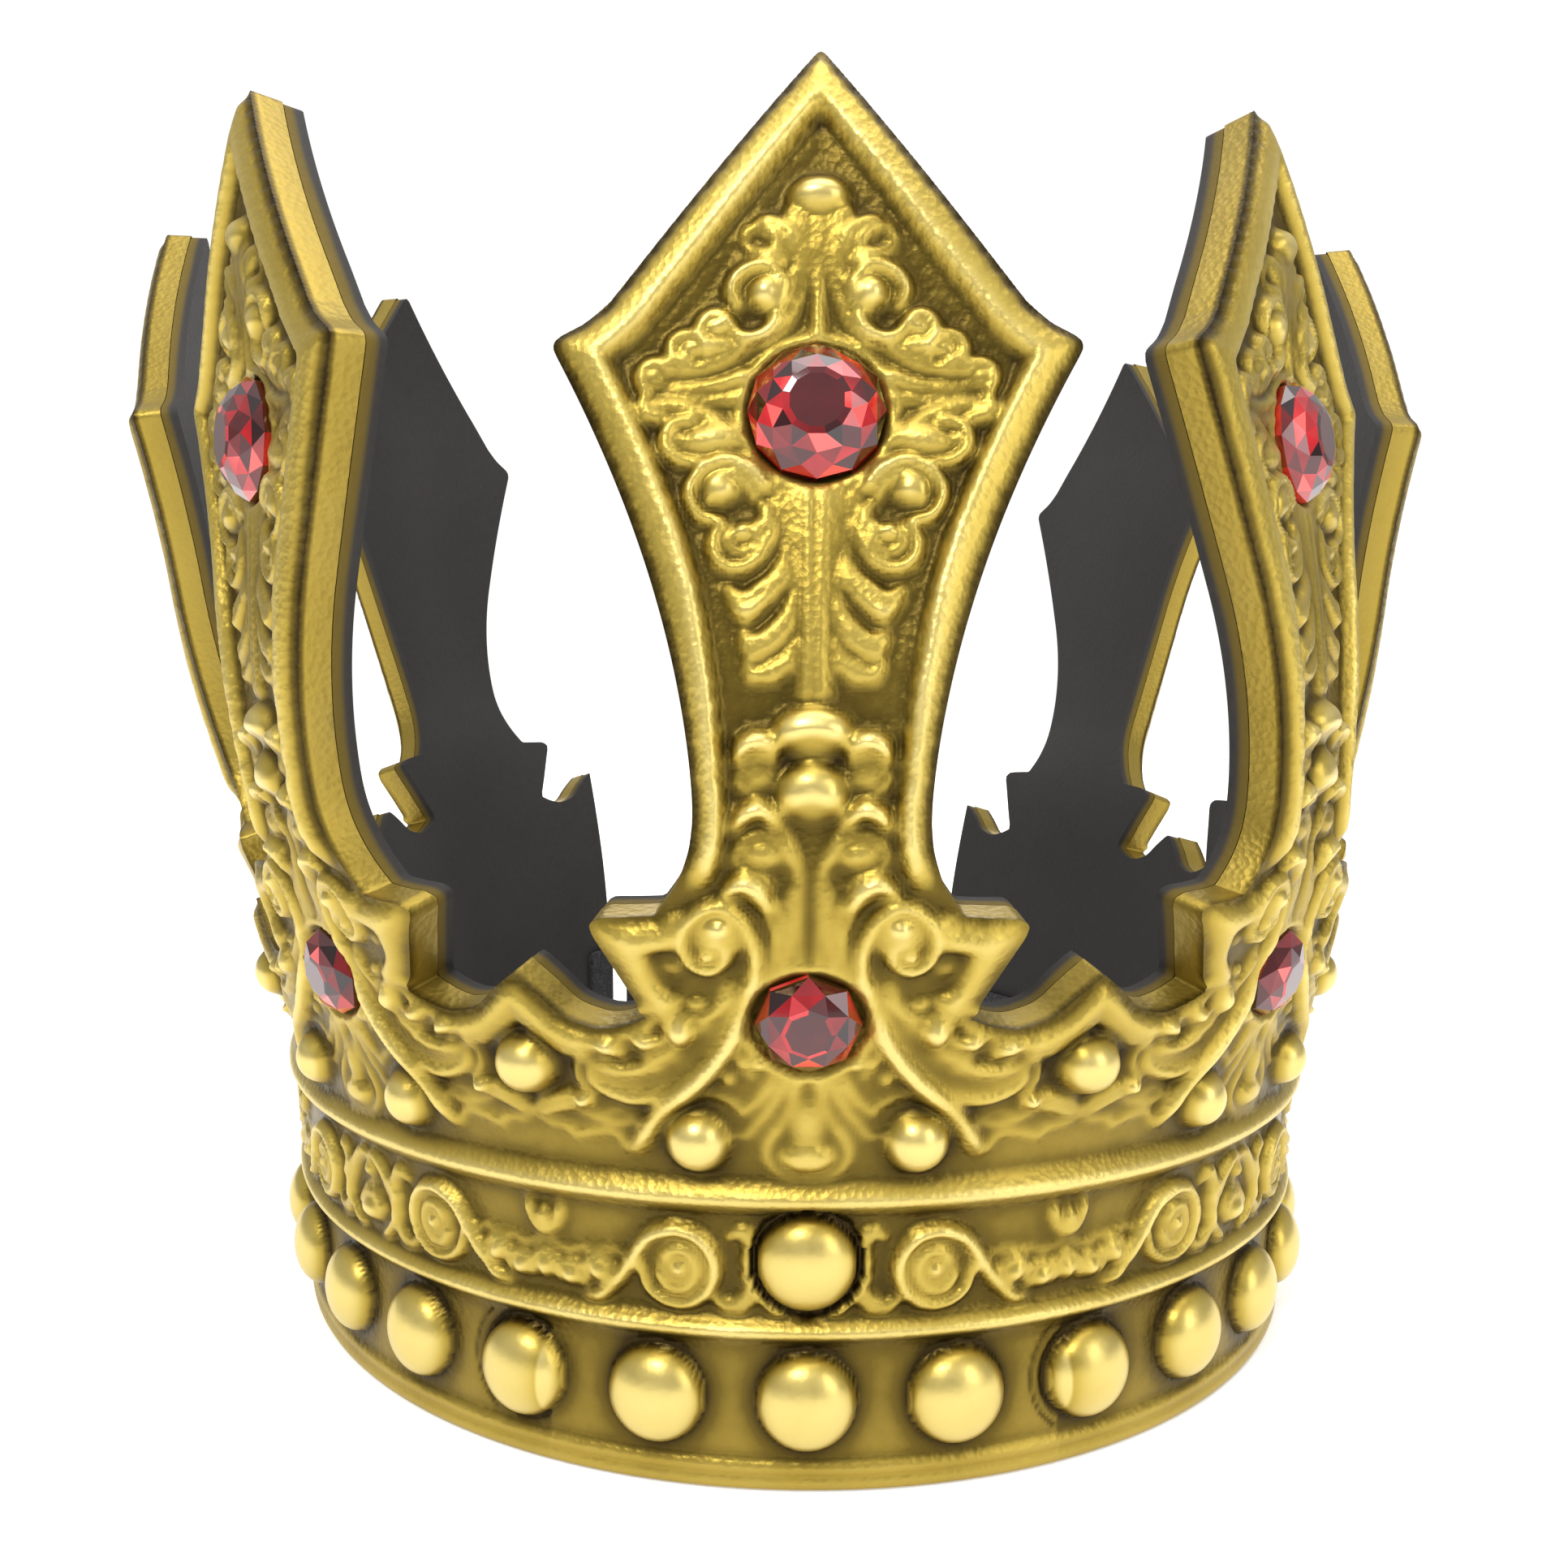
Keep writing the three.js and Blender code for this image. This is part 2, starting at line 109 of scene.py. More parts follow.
def plan_curvature(s):
    u = s / HALF_LENGTH
    return sum((k + 1) * a * u**k for k, a in enumerate(TURN)) / HALF_LENGTH


def profile(extra):
    """Lean, outward travel and height, as tables over PROFILE_H, of a spire that leans extra."""
    lean = np.interp(PROFILE_H, LEAN_HEIGHTS, LEAN_ANGLES)
    lean = lean + extra * smoothstep(LEAN_FROM, LEAN_TO, PROFILE_H)
    return lean, running_sum(np.sin(lean), PROFILE_STEP), running_sum(np.cos(lean), PROFILE_STEP)


BAND_PROFILE = profile(0)
SPIRE_PROFILES = [profile(extra) for extra in SPIRE_LEAN]


def lift(s):
    return np.where(s < 0, LEFT_LIFT * smoothstep(LIFT_FROM, HALF_LENGTH, -s), 0)


def bend_unshifted(spire, w, h, t):
    """Points of the strip in mm: w along from that spire's centre line, h up and t out of the face."""
    w, h, t = (np.asarray(v, float) for v in (w, h, t))
    centre = np.full(w.shape, spire * PITCH)
    along = centre + w
    x, y, turn = plan(along)
    lean0, out0, up0 = (np.interp(h, PROFILE_H, table) for table in BAND_PROFILE)
    lean1, out1, up1 = (np.interp(h, PROFILE_H, t_) for t_ in SPIRE_PROFILES[spire + LAST_SPIRE])
    cx, cy, cturn = plan(centre)
    curve = plan_curvature(centre) * SPIRE_FLATNESS
    at_gable = smoothstep(LEAF_ROOT_WIDTH, HALF_PITCH, np.abs(w))
    free = smoothstep(FLAT_FROM, FLAT_TO, h)
    apart = free * (1 - at_gable * (1 - smoothstep(WIDE_FROM, WIDE_TO, h)))
    nx, ny = np.sin(turn), -np.cos(turn)
    twisted = cturn + SPIRE_TWIST[spire + LAST_SPIRE]
    tx, ty = np.cos(twisted), np.sin(twisted)
    gx, gy = ty, -tx
    aside = w + np.tan(SPIRE_TILT[spire + LAST_SPIRE]) * (h - FLAT_FROM) * free
    sag = curve * w * w / 2
    spire_x = cx + np.sin(cturn) * out1 - gx * sag + tx * aside
    spire_y = cy - np.cos(cturn) * out1 - gy * sag + ty * aside
    px = (1 - apart) * (x + nx * out0) + apart * spire_x
    py = (1 - apart) * (y + ny * out0) + apart * spire_y
    pz = (1 - apart) * (up0 + lift(along)) + apart * (up1 + lift(centre))
    fx = (1 - apart) * nx + apart * (gx + tx * curve * w)
    fy = (1 - apart) * ny + apart * (gy + ty * curve * w)
    size = np.hypot(fx, fy)
    lean = (1 - apart) * lean0 + apart * lean1
    px = px + fx / size * np.cos(lean) * t
    py = py + fy / size * np.cos(lean) * t
    return np.stack([px, py, pz - np.sin(lean) * t], axis=-1)


# From the strip's own origin to the CAD frame's, which is centred under the crown.
FRAME_SHIFT = np.array([7.588, -23.393, 0.0])


def bend(spire, w, h, t):
    """As bend_unshifted, in metres in the CAD frame."""
    return (bend_unshifted(spire, w, h, t) + FRAME_SHIFT) * MM


# ---------------------------------------------------------------- outline of one unit
def curve_through(points, step=0.35):
    """A smooth curve through the points (Catmull-Rom), and the share of the way at each sample."""
    p = np.asarray(points, float)
    if len(p) == 2:
        count = max(2, int(np.linalg.norm(p[1] - p[0]) / step) + 1)
        share = np.linspace(0, 1, count)
        return p[0] + (p[1] - p[0]) * share[:, None], share
    ends = np.vstack([2 * p[0] - p[1], p, 2 * p[-1] - p[-2]])
    out, share = [], []
    for k in range(len(p) - 1):
        a, b, c, d = ends[k : k + 4]
        count = max(2, int(np.linalg.norm(c - b) / step) + 1)
        u = np.linspace(0, 1, count, endpoint=False)[:, None]
        square, cube = 2 * a - 5 * b + 4 * c - d, 3 * b - a - 3 * c + d
        out.append(0.5 * (2 * b + (c - a) * u + square * u**2 + cube * u**3))
        share.append((k + u[:, 0]) / (len(p) - 1))
    return np.vstack([*out, p[-1:]]), np.concatenate([*share, [1]])


def half_outline():
    """The right half of a unit's upper edge, from the gable's peak to the tip, and where its parts end."""
    roof = curve_through([(42, 82.3), (38.5, 79.3), (35, 76), (31.6, 74.7), (28.8, 74.4),
        (25.4, 75.3), (22.3, 76.8)])[0]
    leaf_tip = curve_through([(22.3, 76.8), (29.6, 90.0)])[0]
    leaf_end = curve_through([(29.6, 90.0), (29.9, 91.4), (28.6, 92.4)])[0]
    leaf_top = curve_through([(28.6, 92.4), (21.2, 92.9)])[0]
    neck = curve_through([(21.2, 92.9), (18.8, 97), (17.3, 102), (16.9, 106)])[0]
    rise = np.linspace(0, 1, 160)
    flank = np.stack([16.9 + (37.8 - 16.9) * rise**1.75, 106 + 68 * rise], axis=-1)
    corner = curve_through([(37.8, 174), (38.4, 175.6), (37.6, 177.0), (33.6, 179.3), (30.2, 182.3)])[0]
    slope = curve_through([(30.2, 182.3), (0, TIP_HEIGHT)])[0]
    parts = [roof, leaf_tip, leaf_end, leaf_top, neck, flank, corner, slope]
    return parts


OUTLINE_PARTS = half_outline()
ROOF, FRAME_EDGE = OUTLINE_PARTS[0], np.vstack(OUTLINE_PARTS[4:])
LEAF_EDGE = np.vstack(OUTLINE_PARTS[1:4])
UPPER_EDGE = np.vstack(OUTLINE_PARTS)


def distance_to(line, w, h, clip=1e9):
    """Distance from each point to a polyline, and the nearest point on it, in blocks."""
    a, ab = line[:-1], np.diff(line, axis=0)
    length2 = np.maximum((ab**2).sum(1), 1e-12)
    flat_w, flat_h = w.ravel(), h.ravel()
    best = np.full(flat_w.shape, clip)
    spot = np.stack([flat_w, flat_h], axis=-1)
    inside = (
        (flat_w > line[:, 0].min() - clip)
        & (flat_w < line[:, 0].max() + clip)
        & (flat_h > line[:, 1].min() - clip)
        & (flat_h < line[:, 1].max() + clip)
    )
    chosen = np.nonzero(inside)[0]
    for block in np.array_split(chosen, max(1, len(chosen) // 2000 + 1)):
        p = spot[block]
        u = np.clip(((p[:, None] - a) * ab).sum(2) / length2, 0, 1)
        near = a + ab * u[..., None]
        gap = np.hypot(*(np.moveaxis(near - p[:, None], 2, 0)))
        k = gap.argmin(1)
        rows = np.arange(len(block))
        closer = gap[rows, k] < best[block]
        best[block[closer]] = gap[rows, k][closer]
        spot[block[closer]] = near[rows, k][closer]
    return best.reshape(w.shape), spot.reshape(*w.shape, 2)


def inside_unit(w, h):
    """True where a point of the half unit (w from 0 to half the pitch) lies on the strip."""
    edge = np.vstack([[0, 0], [HALF_PITCH, 0], UPPER_EDGE])
    nxt = np.roll(edge, -1, axis=0)
    inside = np.zeros(w.shape, bool)
    for (w0, h0), (w1, h1) in zip(edge, nxt):
        if h0 == h1:
            continue
        crosses = ((h0 > h) != (h1 > h)) & (w < (w1 - w0) * (h - h0) / (h1 - h0) + w0)
        inside ^= crosses
    return inside


# ---------------------------------------------------------------- drawing the relief
RELIEF_GAIN = 1.3


class Relief:
    """Heights over points of the half unit, raised and cut by strokes, domes and pits (all in mm)."""

    def __init__(self, w, h):
        self.w, self.h = np.abs(w), h
        self.t = np.zeros(w.shape)
        self.smooth = np.zeros(w.shape)  # 1 where the paint lies on a polished dome

    def window(self, low, high, margin):
        return (
            (self.w > low[0] - margin)
            & (self.w < high[0] + margin)
            & (self.h > low[1] - margin)
            & (self.h < high[1] + margin)
        )

    def stroke(self, points, width, rise, kind="round", ground=0.0, groove=0.35):
        """A ridge along a curve. width and rise are values, or lists spread along it.
        kind is round, wire (a steep thin line), leaf (a rim round a hollow) or cut (a channel)."""
        path, share = curve_through(points)
        width = np.interp(share, np.linspace(0, 1, len(np.atleast_1d(width))), np.atleast_1d(width))
        rise = np.interp(share, np.linspace(0, 1, len(np.atleast_1d(rise))), np.atleast_1d(rise))
        near = self.window(path.min(0), path.max(0), width.max() + 1.2)
        p = np.stack([self.w[near], self.h[near]], axis=-1)
        if not len(p):
            return
        a, ab = path[:-1], np.diff(path, axis=0)
        u = np.clip(((p[:, None] - a) * ab).sum(2) / np.maximum((ab**2).sum(1), 1e-12), 0, 1)
        gap = np.hypot(*np.moveaxis(a + ab * u[..., None] - p[:, None], 2, 0))
        half = width[:-1] + (width[1:] - width[:-1]) * u
        top = rise[:-1] + (rise[1:] - rise[:-1]) * u
        k = (gap / np.maximum(half, 0.05)).argmin(1)
        rows = np.arange(len(p))
        gap, half, top = gap[rows, k], np.maximum(half[rows, k], 0.05), top[rows, k]
        q = gap / half
        if kind == "leaf":
            shape = np.where(q < 0.72, 0.45 + 0.55 * (q / 0.72) ** 2,
                np.sqrt(np.clip(1 - ((q - 0.72) / 0.28) ** 2, 0, 1)))
        elif kind == "wire":
            shape = np.clip(1 - q, 0, 1) ** 0.7
        else:
            shape = np.sqrt(np.clip(1 - q * q, 0, 1))
        t = self.t[near]
        if kind == "cut":
            t = t - top * np.clip(1 - q * q, 0, 1)
        else:
            t = np.where(q < 1, np.maximum(t, ground + top * shape), t)
            beside = (gap - half) / 0.45
            t = t - groove * np.where(q >= 1, np.clip(1 - np.abs(beside - 0.55) / 0.75, 0, 1), 0)
        self.t[near] = t

    def dome(self, centre, radii, rise, angle=0.0, ground=0.0, groove=0.0, sharp=0.5, polish=0.0):
        """An elliptical dome. sharp is 0.5 for a half ellipse and 1 for a soft mound."""
        radii = np.broadcast_to(np.atleast_1d(radii).astype(float),
            (2,)) if np.ndim(radii) else np.array([radii] * 2, float)
        c = np.asarray(centre, float)
        near = self.window(c, c, radii.max() + 1.5)
        dw, dh = self.w[near] - c[0], self.h[near] - c[1]
        cos, sin = math.cos(math.radians(angle)), math.sin(math.radians(angle))
        x, y = dw * cos + dh * sin, dh * cos - dw * sin
        q = np.hypot(x / radii[0], y / radii[1])
        shape = np.clip(1 - q * q, 0, 1) ** sharp
        t = np.where(q < 1, np.maximum(self.t[near], ground + rise * shape), self.t[near])
        outside = (q - 1) * radii.min() / 0.9
        t = t - groove * np.where(q >= 1, np.clip(1 - np.abs(outside - 0.45) / 0.6, 0, 1), 0)
        self.t[near] = t
        if polish:
            self.smooth[near] = np.where(q < 1, np.maximum(self.smooth[near], polish), self.smooth[near])

    def pit(self, centre, radii, depth, angle=0.0):
        c = np.asarray(centre, float)
        radii = np.broadcast_to(np.atleast_1d(radii).astype(float), (2,))
        near = self.window(c, c, radii.max() + 0.5)
        dw, dh = self.w[near] - c[0], self.h[near] - c[1]
        cos, sin = math.cos(math.radians(angle)), math.sin(math.radians(angle))
        q = np.hypot((dw * cos + dh * sin) / radii[0], (dh * cos - dw * sin) / radii[1])
        self.t[near] -= depth * np.clip(1 - q**2, 0, 1)


# Sizes of the moulding.
FRAME_WIDTH = 5.4
FRAME_RISE = 2.4
BEVEL = 1.7
RIBS = [47.4, 25.8]
BALL_SPACING = 2 * HALF_LENGTH / 25
SPIRE_GEM = {"radius": 10.0, "height": 165.5, "rise": 6.4}
BAND_GEM = {"radius": 8.0, "height": 76.2, "rise": 4.2}
SEAT = -0.6


def frame_moulding(r):
    """The raised border of a spire, with a steep bevel down to the field."""
    gap, _ = distance_to(FRAME_EDGE, r.w, r.h, clip=12)
    above = smoothstep(95, 102, r.h)
    width = FRAME_WIDTH * (0.62 + 0.38 * smoothstep(112, 150, r.h))
    crest = 0.9 + (FRAME_RISE - 0.9) * np.clip(gap / width, 0, 1) ** 0.8
    crest -= 1.1 * np.clip(1 - gap / 0.7, 0, 1) ** 2
    fall = np.clip((gap - width) / BEVEL, 0, 1)
    t = np.where(gap < width, crest, FRAME_RISE * (1 - fall) - 0.7 * np.sin(np.pi * fall**1.5))
    bead = 0.45 * np.exp(-(((gap - width - BEVEL - 0.9) / 0.5) ** 2))
    t = np.where(gap < width + BEVEL, t, bead)
    r.t += t * above


def roof_moulding(r):
    """The bevelled bar under the gable and the valley."""
    gap, _ = distance_to(ROOF, r.w, r.h, clip=9)
    side = smoothstep(28.5, 33, r.w)
    width = 1.4 + 4.2 * side
    t = np.where(gap < 1.8, 0.5 + 1.5 * np.clip(gap / 1.8, 0, 1) ** 0.7,
        2.0 - 0.8 * np.clip((gap - 1.8) / np.maximum(width - 1.8, 0.3), 0, 1))
    fall = np.clip((gap - width) / 0.7, 0, 1)
    t = np.where(gap < width, t, 1.2 * (1 - fall) - 0.3 * np.sin(np.pi * fall))
    t = np.where(gap < width + 0.7, t, 0)
    r.t = np.where((r.h > 60) & (r.h < 90) & (r.w > 21), np.maximum(r.t, t), r.t)


def leaf_wing(r):
    """The flat leaf that stands out at the spire's foot."""
    gap, _ = distance_to(LEAF_EDGE, r.w, r.h, clip=12)
    on = (r.w > 15) & (r.h > 76.5) & (r.h < 93.5)
    t = 0.5 + 1.3 * np.clip(gap / 2.6, 0, 1) ** 0.8
    top = np.clip((r.h - 89.4) / 3.4, 0, 1)
    t = t - 0.5 * top * (gap < 4)
    r.t = np.where(on & (gap < 4.2), np.maximum(r.t, t), r.t)
    r.stroke([(20.0, 90.0), (23.5, 89.2), (27.2, 89.9)], 0.5, 1.9, "wire", groove=0.2)
    r.pit((18.6, 84.2), (4.4, 3.4), 1.6, angle=35)
    r.dome((18.6, 85.1), (2.5, 1.7), 1.3, angle=25, ground=-0.6)
    r.dome((15.6, 82.6), (1.6, 1.3), 1.0, ground=-0.8)
    r.stroke([(16.6, 88.2), (20.6, 88.0), (22.7, 86.7), (21.2, 82.8), (18.2, 79.4)], 0.5, 1.9,
        "wire", groove=0.3)


def finial_and_strands(r):
    """Bulb under the point, and the strands that spread from it round the upper gem."""
    r.dome((0, 197.6), (4.6, 3.4), 2.4, groove=0.8, polish=1)
    r.stroke([(4.3, 195.4), (3.3, 192.6), (3.0, 190.2), (3.9, 186.4)], [0.9, 1.2, 0.8],
        [1.6, 1.4, 1.0], groove=0.6)
    r.stroke([(0, 195.6), (0, 177)], [0.8, 1.0], [1.6, 1.2], groove=0.5)
    r.stroke([(1.5, 195.6), (1.3, 190.5), (2.2, 184.5), (4.2, 179.5), (7.2, 176.0)], 0.75,
        [1.5, 1.1], groove=0.5)
    r.stroke([(2.9, 195.2), (2.4, 191.0), (3.5, 185.6), (6.3, 180.4), (10.2, 175.8), (14.6, 172.8),
        (19.6, 171.6), (23.4, 171.6)], [0.7, 0.9, 1.0, 0.9], [1.5, 1.3, 1.3], groove=0.5)
    r.stroke([(5.6, 184.6), (8.6, 179.2), (12.0, 175.6), (15.6, 173.6)], 0.6, 1.0, "wire")
    r.stroke([(10.4, 171.2), (14.2, 169.8), (19, 169.2), (23.6, 169.4)], [0.9, 0.7], [1.4, 1.1], groove=0.5)
    r.stroke([(10.8, 168.2), (14.5, 167.4), (19, 167.6), (23.4, 167.8)], 0.65, 1.0, groove=0.4)
    r.stroke([(9.6, 160.2), (12.8, 163.4), (17, 165.5), (21, 166.4), (23.8, 166.2)],
        [0.7, 1.0, 0.9], 1.4, groove=0.5)
    r.stroke([(8.2, 158.4), (11.4, 161.6), (14.6, 163.7), (18.4, 164.4)], 0.6, 1.1, "wire")
    r.stroke([(21.2, 172.3), (23.4, 173.1), (25.4, 171.9), (25.6, 169.8), (24.6, 168.4),
        (25.2, 166.4), (24.0, 164.6), (21.8, 164.6)], 0.75, 1.9, groove=0.5)
    r.dome((23.5, 170.7), (1.7, 1.5), 1.6, polish=1)
    r.dome((23.4, 166.3), (1.5, 1.2), 1.5, polish=1)


def upper_leaves(r):
    """Curled leaves between the strands and the frame above the gem."""
    r.dome((8.2, 186.5), (5.4, 8.2), 0.8, angle=20, sharp=1)
    r.dome((15.6, 177.4), (6.6, 3.2), 0.8, angle=-28, sharp=1)
    r.stroke([(4.8, 188.8), (5.2, 191.4), (7.4, 193.3), (10.6, 192.6)], [1.2, 1.9, 1.5, 0.4],
        [1.8, 2.5, 2.2, 1.4], "leaf", groove=0.6)
    r.stroke([(10.4, 192.4), (10.8, 190.8), (10.0, 189.2)], [0.6, 0.4], [1.6, 1.2], groove=0.3)
    r.stroke([(4.9, 187.4), (7.4, 188.9), (10.2, 189.4)], [0.8, 1.1, 0.4], [1.8, 2.1, 1.4], groove=0.5)
    r.dome((7.4, 183.1), (2.9, 3.0), 2.3, angle=-20, groove=0.3, polish=1)
    r.stroke([(4.8, 181.8), (5.2, 185.2), (8.2, 187.2), (11.4, 186.0), (12.7, 183.6),
        (11.6, 181.2)], [0.7, 0.9, 0.9, 0.5], 2.3, groove=0.5)
    r.stroke([(5.6, 182.0), (6.2, 178.6), (8.6, 176.6), (11.4, 176.9), (13.0, 178.8)],
        [0.6, 0.9, 0.8], 2.0, groove=0.4)
    r.dome((14.6, 177.9), (1.7, 1.5), 2.1, polish=1)
    r.stroke([(12.6, 178.6), (14.4, 180.3), (16.6, 179.3), (16.9, 176.9), (15.2, 175.3),
        (13.2, 175.6)], 0.75, 2.2, groove=0.45)
    r.dome((18.3, 174.8), (1.9, 1.3), 1.9, angle=15, polish=1)
    r.stroke([(15.8, 173.9), (16.8, 176.2), (19.2, 177.2), (21.1, 175.9), (20.9, 173.8),
        (18.6, 172.8)], 0.7, 2.0, groove=0.45)
    r.pit((9.5, 179.5), (2.1, 2.0), 2.4)


def lower_scrolls(r):
    """Hook, double scroll and feather leaves below the upper gem."""
    r.dome((14.0, 158.6), (7.4, 6.2), 0.6, sharp=1)
    r.dome((15.4, 161.4), (5.0, 2.4), 1.8, angle=-8, groove=0.3)
    r.stroke([(17.6, 164.1), (20.2, 163.9), (21.9, 161.8), (21.2, 159.4), (19.0, 158.2),
        (16.4, 158.1)], [0.6, 0.9, 0.9, 0.5], 2.2, groove=0.5)
    r.dome((20.0, 161.4), (1.0, 1.4), 1.9, polish=1)
    r.dome((13.6, 154.2), (3.0, 2.6), 2.0, angle=25, groove=0.3, polish=1)
    r.stroke([(7.2, 154.2), (9.2, 157.0), (12.8, 158.3), (16.4, 156.8), (18.1, 153.4),
        (16.6, 150.2), (14.0, 149.6)], [0.6, 1.0, 0.9, 0.6], 2.4, groove=0.55)
    r.stroke([(8.6, 152.8), (10.2, 155.6), (13.0, 156.4), (15.4, 154.4), (15.0, 151.8)],
        [0.5, 0.75, 0.6], 2.1, groove=0.4)
    r.stroke([(7.4, 151.6), (6.4, 147.4), (8.0, 143.9), (11.2, 142.4), (14.0, 143.9), (14.4, 147.2),
        (13.0, 149.2)], 0.75, [1.6, 2.1, 2.0], groove=0.45)
    r.stroke([(8.2, 149.2), (8.2, 146.4), (10.2, 144.6), (12.2, 145.6), (12.4, 147.6)], 0.6, 1.9,
        groove=0.35)
    r.dome((10.3, 147.8), (1.6, 1.6), 2.0, polish=1)
    r.pit((11.4, 151.3), (2.0, 1.7), 2.4, angle=-25)
    r.stroke([(4.4, 145.4), (5.0, 141.6), (7.4, 138.8), (10.4, 137.4), (12.6, 139.8)],
        [0.5, 1.3, 1.7, 1.4, 0.4], [1.3, 2.0, 2.2, 1.6], "leaf", groove=0.55)
    r.stroke([(7.0, 137.0), (9.4, 135.4), (11.6, 136.6)], [0.4, 0.8, 0.4], 1.6, groove=0.4)
    r.stroke([(3.4, 138.6), (4.2, 135.0), (6.4, 132.2), (9.2, 131.6), (10.2, 134.0)],
        [0.5, 1.2, 1.6, 1.2, 0.4], [1.2, 1.9, 2.0, 1.4], "leaf", groove=0.5)
    r.stroke([(2.6, 132.6), (3.8, 129.6), (6.2, 127.4), (9.6, 127.2)], [0.5, 1.1, 1.4, 0.5],
        [1.2, 1.8, 1.6], "leaf", groove=0.5)
    r.stroke([(6.8, 129.6), (9.0, 130.0), (9.5, 127.8)], [0.4, 0.6, 0.4], 1.4, groove=0.3)


def stems(r):
    """Bundle of stems that runs from the upper gem down to the neck."""
    r.stroke([(0, 156), (0, 124)], [5.0, 3.6, 2.6], [0.5, 0.6], "round", groove=0)
    r.stroke([(1.1, 156), (1.0, 140), (0.9, 124)], [0.95, 0.8], 1.6, groove=0.5)
    r.stroke([(3.2, 156.6), (2.9, 148), (2.6, 138), (2.3, 124)], [0.8, 0.6], [1.3, 1.0], groove=0.4)
    r.stroke([(5.4, 157.0), (4.7, 151), (3.9, 144), (3.3, 136), (2.9, 128)], [0.8, 0.5], [1.1, 0.8],
        groove=0.4)
    r.stroke([(7.4, 158.4), (6.3, 154), (5.4, 149), (4.7, 143)], [0.7, 0.4], [1.0, 0.7], groove=0.35)


def neck_domes(r):
    """Two capped domes on the stem, with a lobe and a small leaf beside each."""
    r.dome((0, 118.8), (6.2, 4.4), 3.1, groove=0.6, polish=1)
    r.stroke([(0, 117.2), (3.2, 116.4)], [2.3, 1.8], 1.5, "cut")
    r.stroke([(0, 119.9), (2.6, 119.4), (4.5, 117.4), (5.2, 115.4)], 0.5, [2.5, 2.0, 1.6], "wire",
        groove=0.5)
    r.dome((0, 110.6), (5.6, 4.7), 2.9, groove=0.6, polish=1)
    r.stroke([(0, 107.4), (1.8, 107.0)], [3.0, 2.4], 1.2, "cut")
    r.stroke([(0, 111.8), (2.4, 111.4), (4.3, 109.6), (4.5, 107.2), (3.2, 104.2), (1.9, 101.2),
        (1.5, 96), (1.4, 85)], 0.5, [2.4, 1.9, 1.4, 1.1], "wire", groove=0.45)
    r.dome((7.6, 113.2), (3.0, 2.6), 1.2, groove=0.3)
    r.stroke([(5.4, 116.6), (7.2, 118.0), (9.6, 117.4), (11.0, 114.9)], [1.1, 1.8, 1.5, 0.4],
        [2.0, 2.7, 2.2], groove=0.5)
    r.stroke([(5.0, 115.0), (7.6, 115.7), (10.2, 113.9), (10.8, 112.2), (8.5, 110.6), (5.9, 109.4)],
        0.5, 1.9, "wire", groove=0.4)
    r.dome((6.8, 102.2), (3.2, 2.2), 1.3, angle=10, groove=0.3)
    r.stroke([(5.2, 106.8), (7.2, 108.5), (9.6, 107.7), (11.0, 105.4)], [1.0, 1.7, 1.4, 0.4],
        [2.0, 2.7, 2.2], groove=0.5)
    r.stroke([(2.7, 101.0), (4.0, 103.8), (7.0, 105.1), (9.6, 104.0), (10.7, 101.9), (9.2, 100.2),
        (6.6, 99.0), (5.2, 97.8)], 0.5, 1.9, "wire", groove=0.4)
    for side in (2.7, 4.2):
        r.stroke([(side, 100 - side), (side - 0.3, 92), (side + 0.8, 85)], [0.4, 0.8, 0.7], 1.0,
            groove=0.35)


def volute(r):
    """Third lobe, and the volute beside the lower gem."""
    r.stroke([(5.4, 94.4), (7.2, 97.2), (9.8, 98.2), (12.0, 96.2)], [0.9, 1.5, 1.5, 0.5],
        [1.9, 2.6, 2.2], groove=0.5)
    r.stroke([(4.6, 86.4), (4.8, 90.6), (6.2, 94.0), (8.8, 95.9), (11.4, 95.2)], 0.5, [1.4, 1.9],
        "wire", groove=0.4)
    r.dome((12.4, 90.4), (4.2, 4.6), 1.9, angle=-15, sharp=0.6)
    r.dome((12.2, 91.8), (2.4, 2.2), 2.8, sharp=0.7, polish=1)
    r.stroke([(7.0, 80.5), (7.2, 87.6), (9.2, 92.9), (13.0, 94.9), (16.3, 92.8), (17.2, 89.2),
        (16.0, 86.0), (13.4, 84.9), (11.2, 86.4), (11.5, 89.0), (13.9, 89.5)], [1.0, 0.9, 0.7, 0.6,
        0.5], [1.8, 2.4, 2.7, 2.5], groove=0.55)
    r.dome((13.7, 87.3), (1.1, 1.1), 2.9, groove=0.3, polish=1)


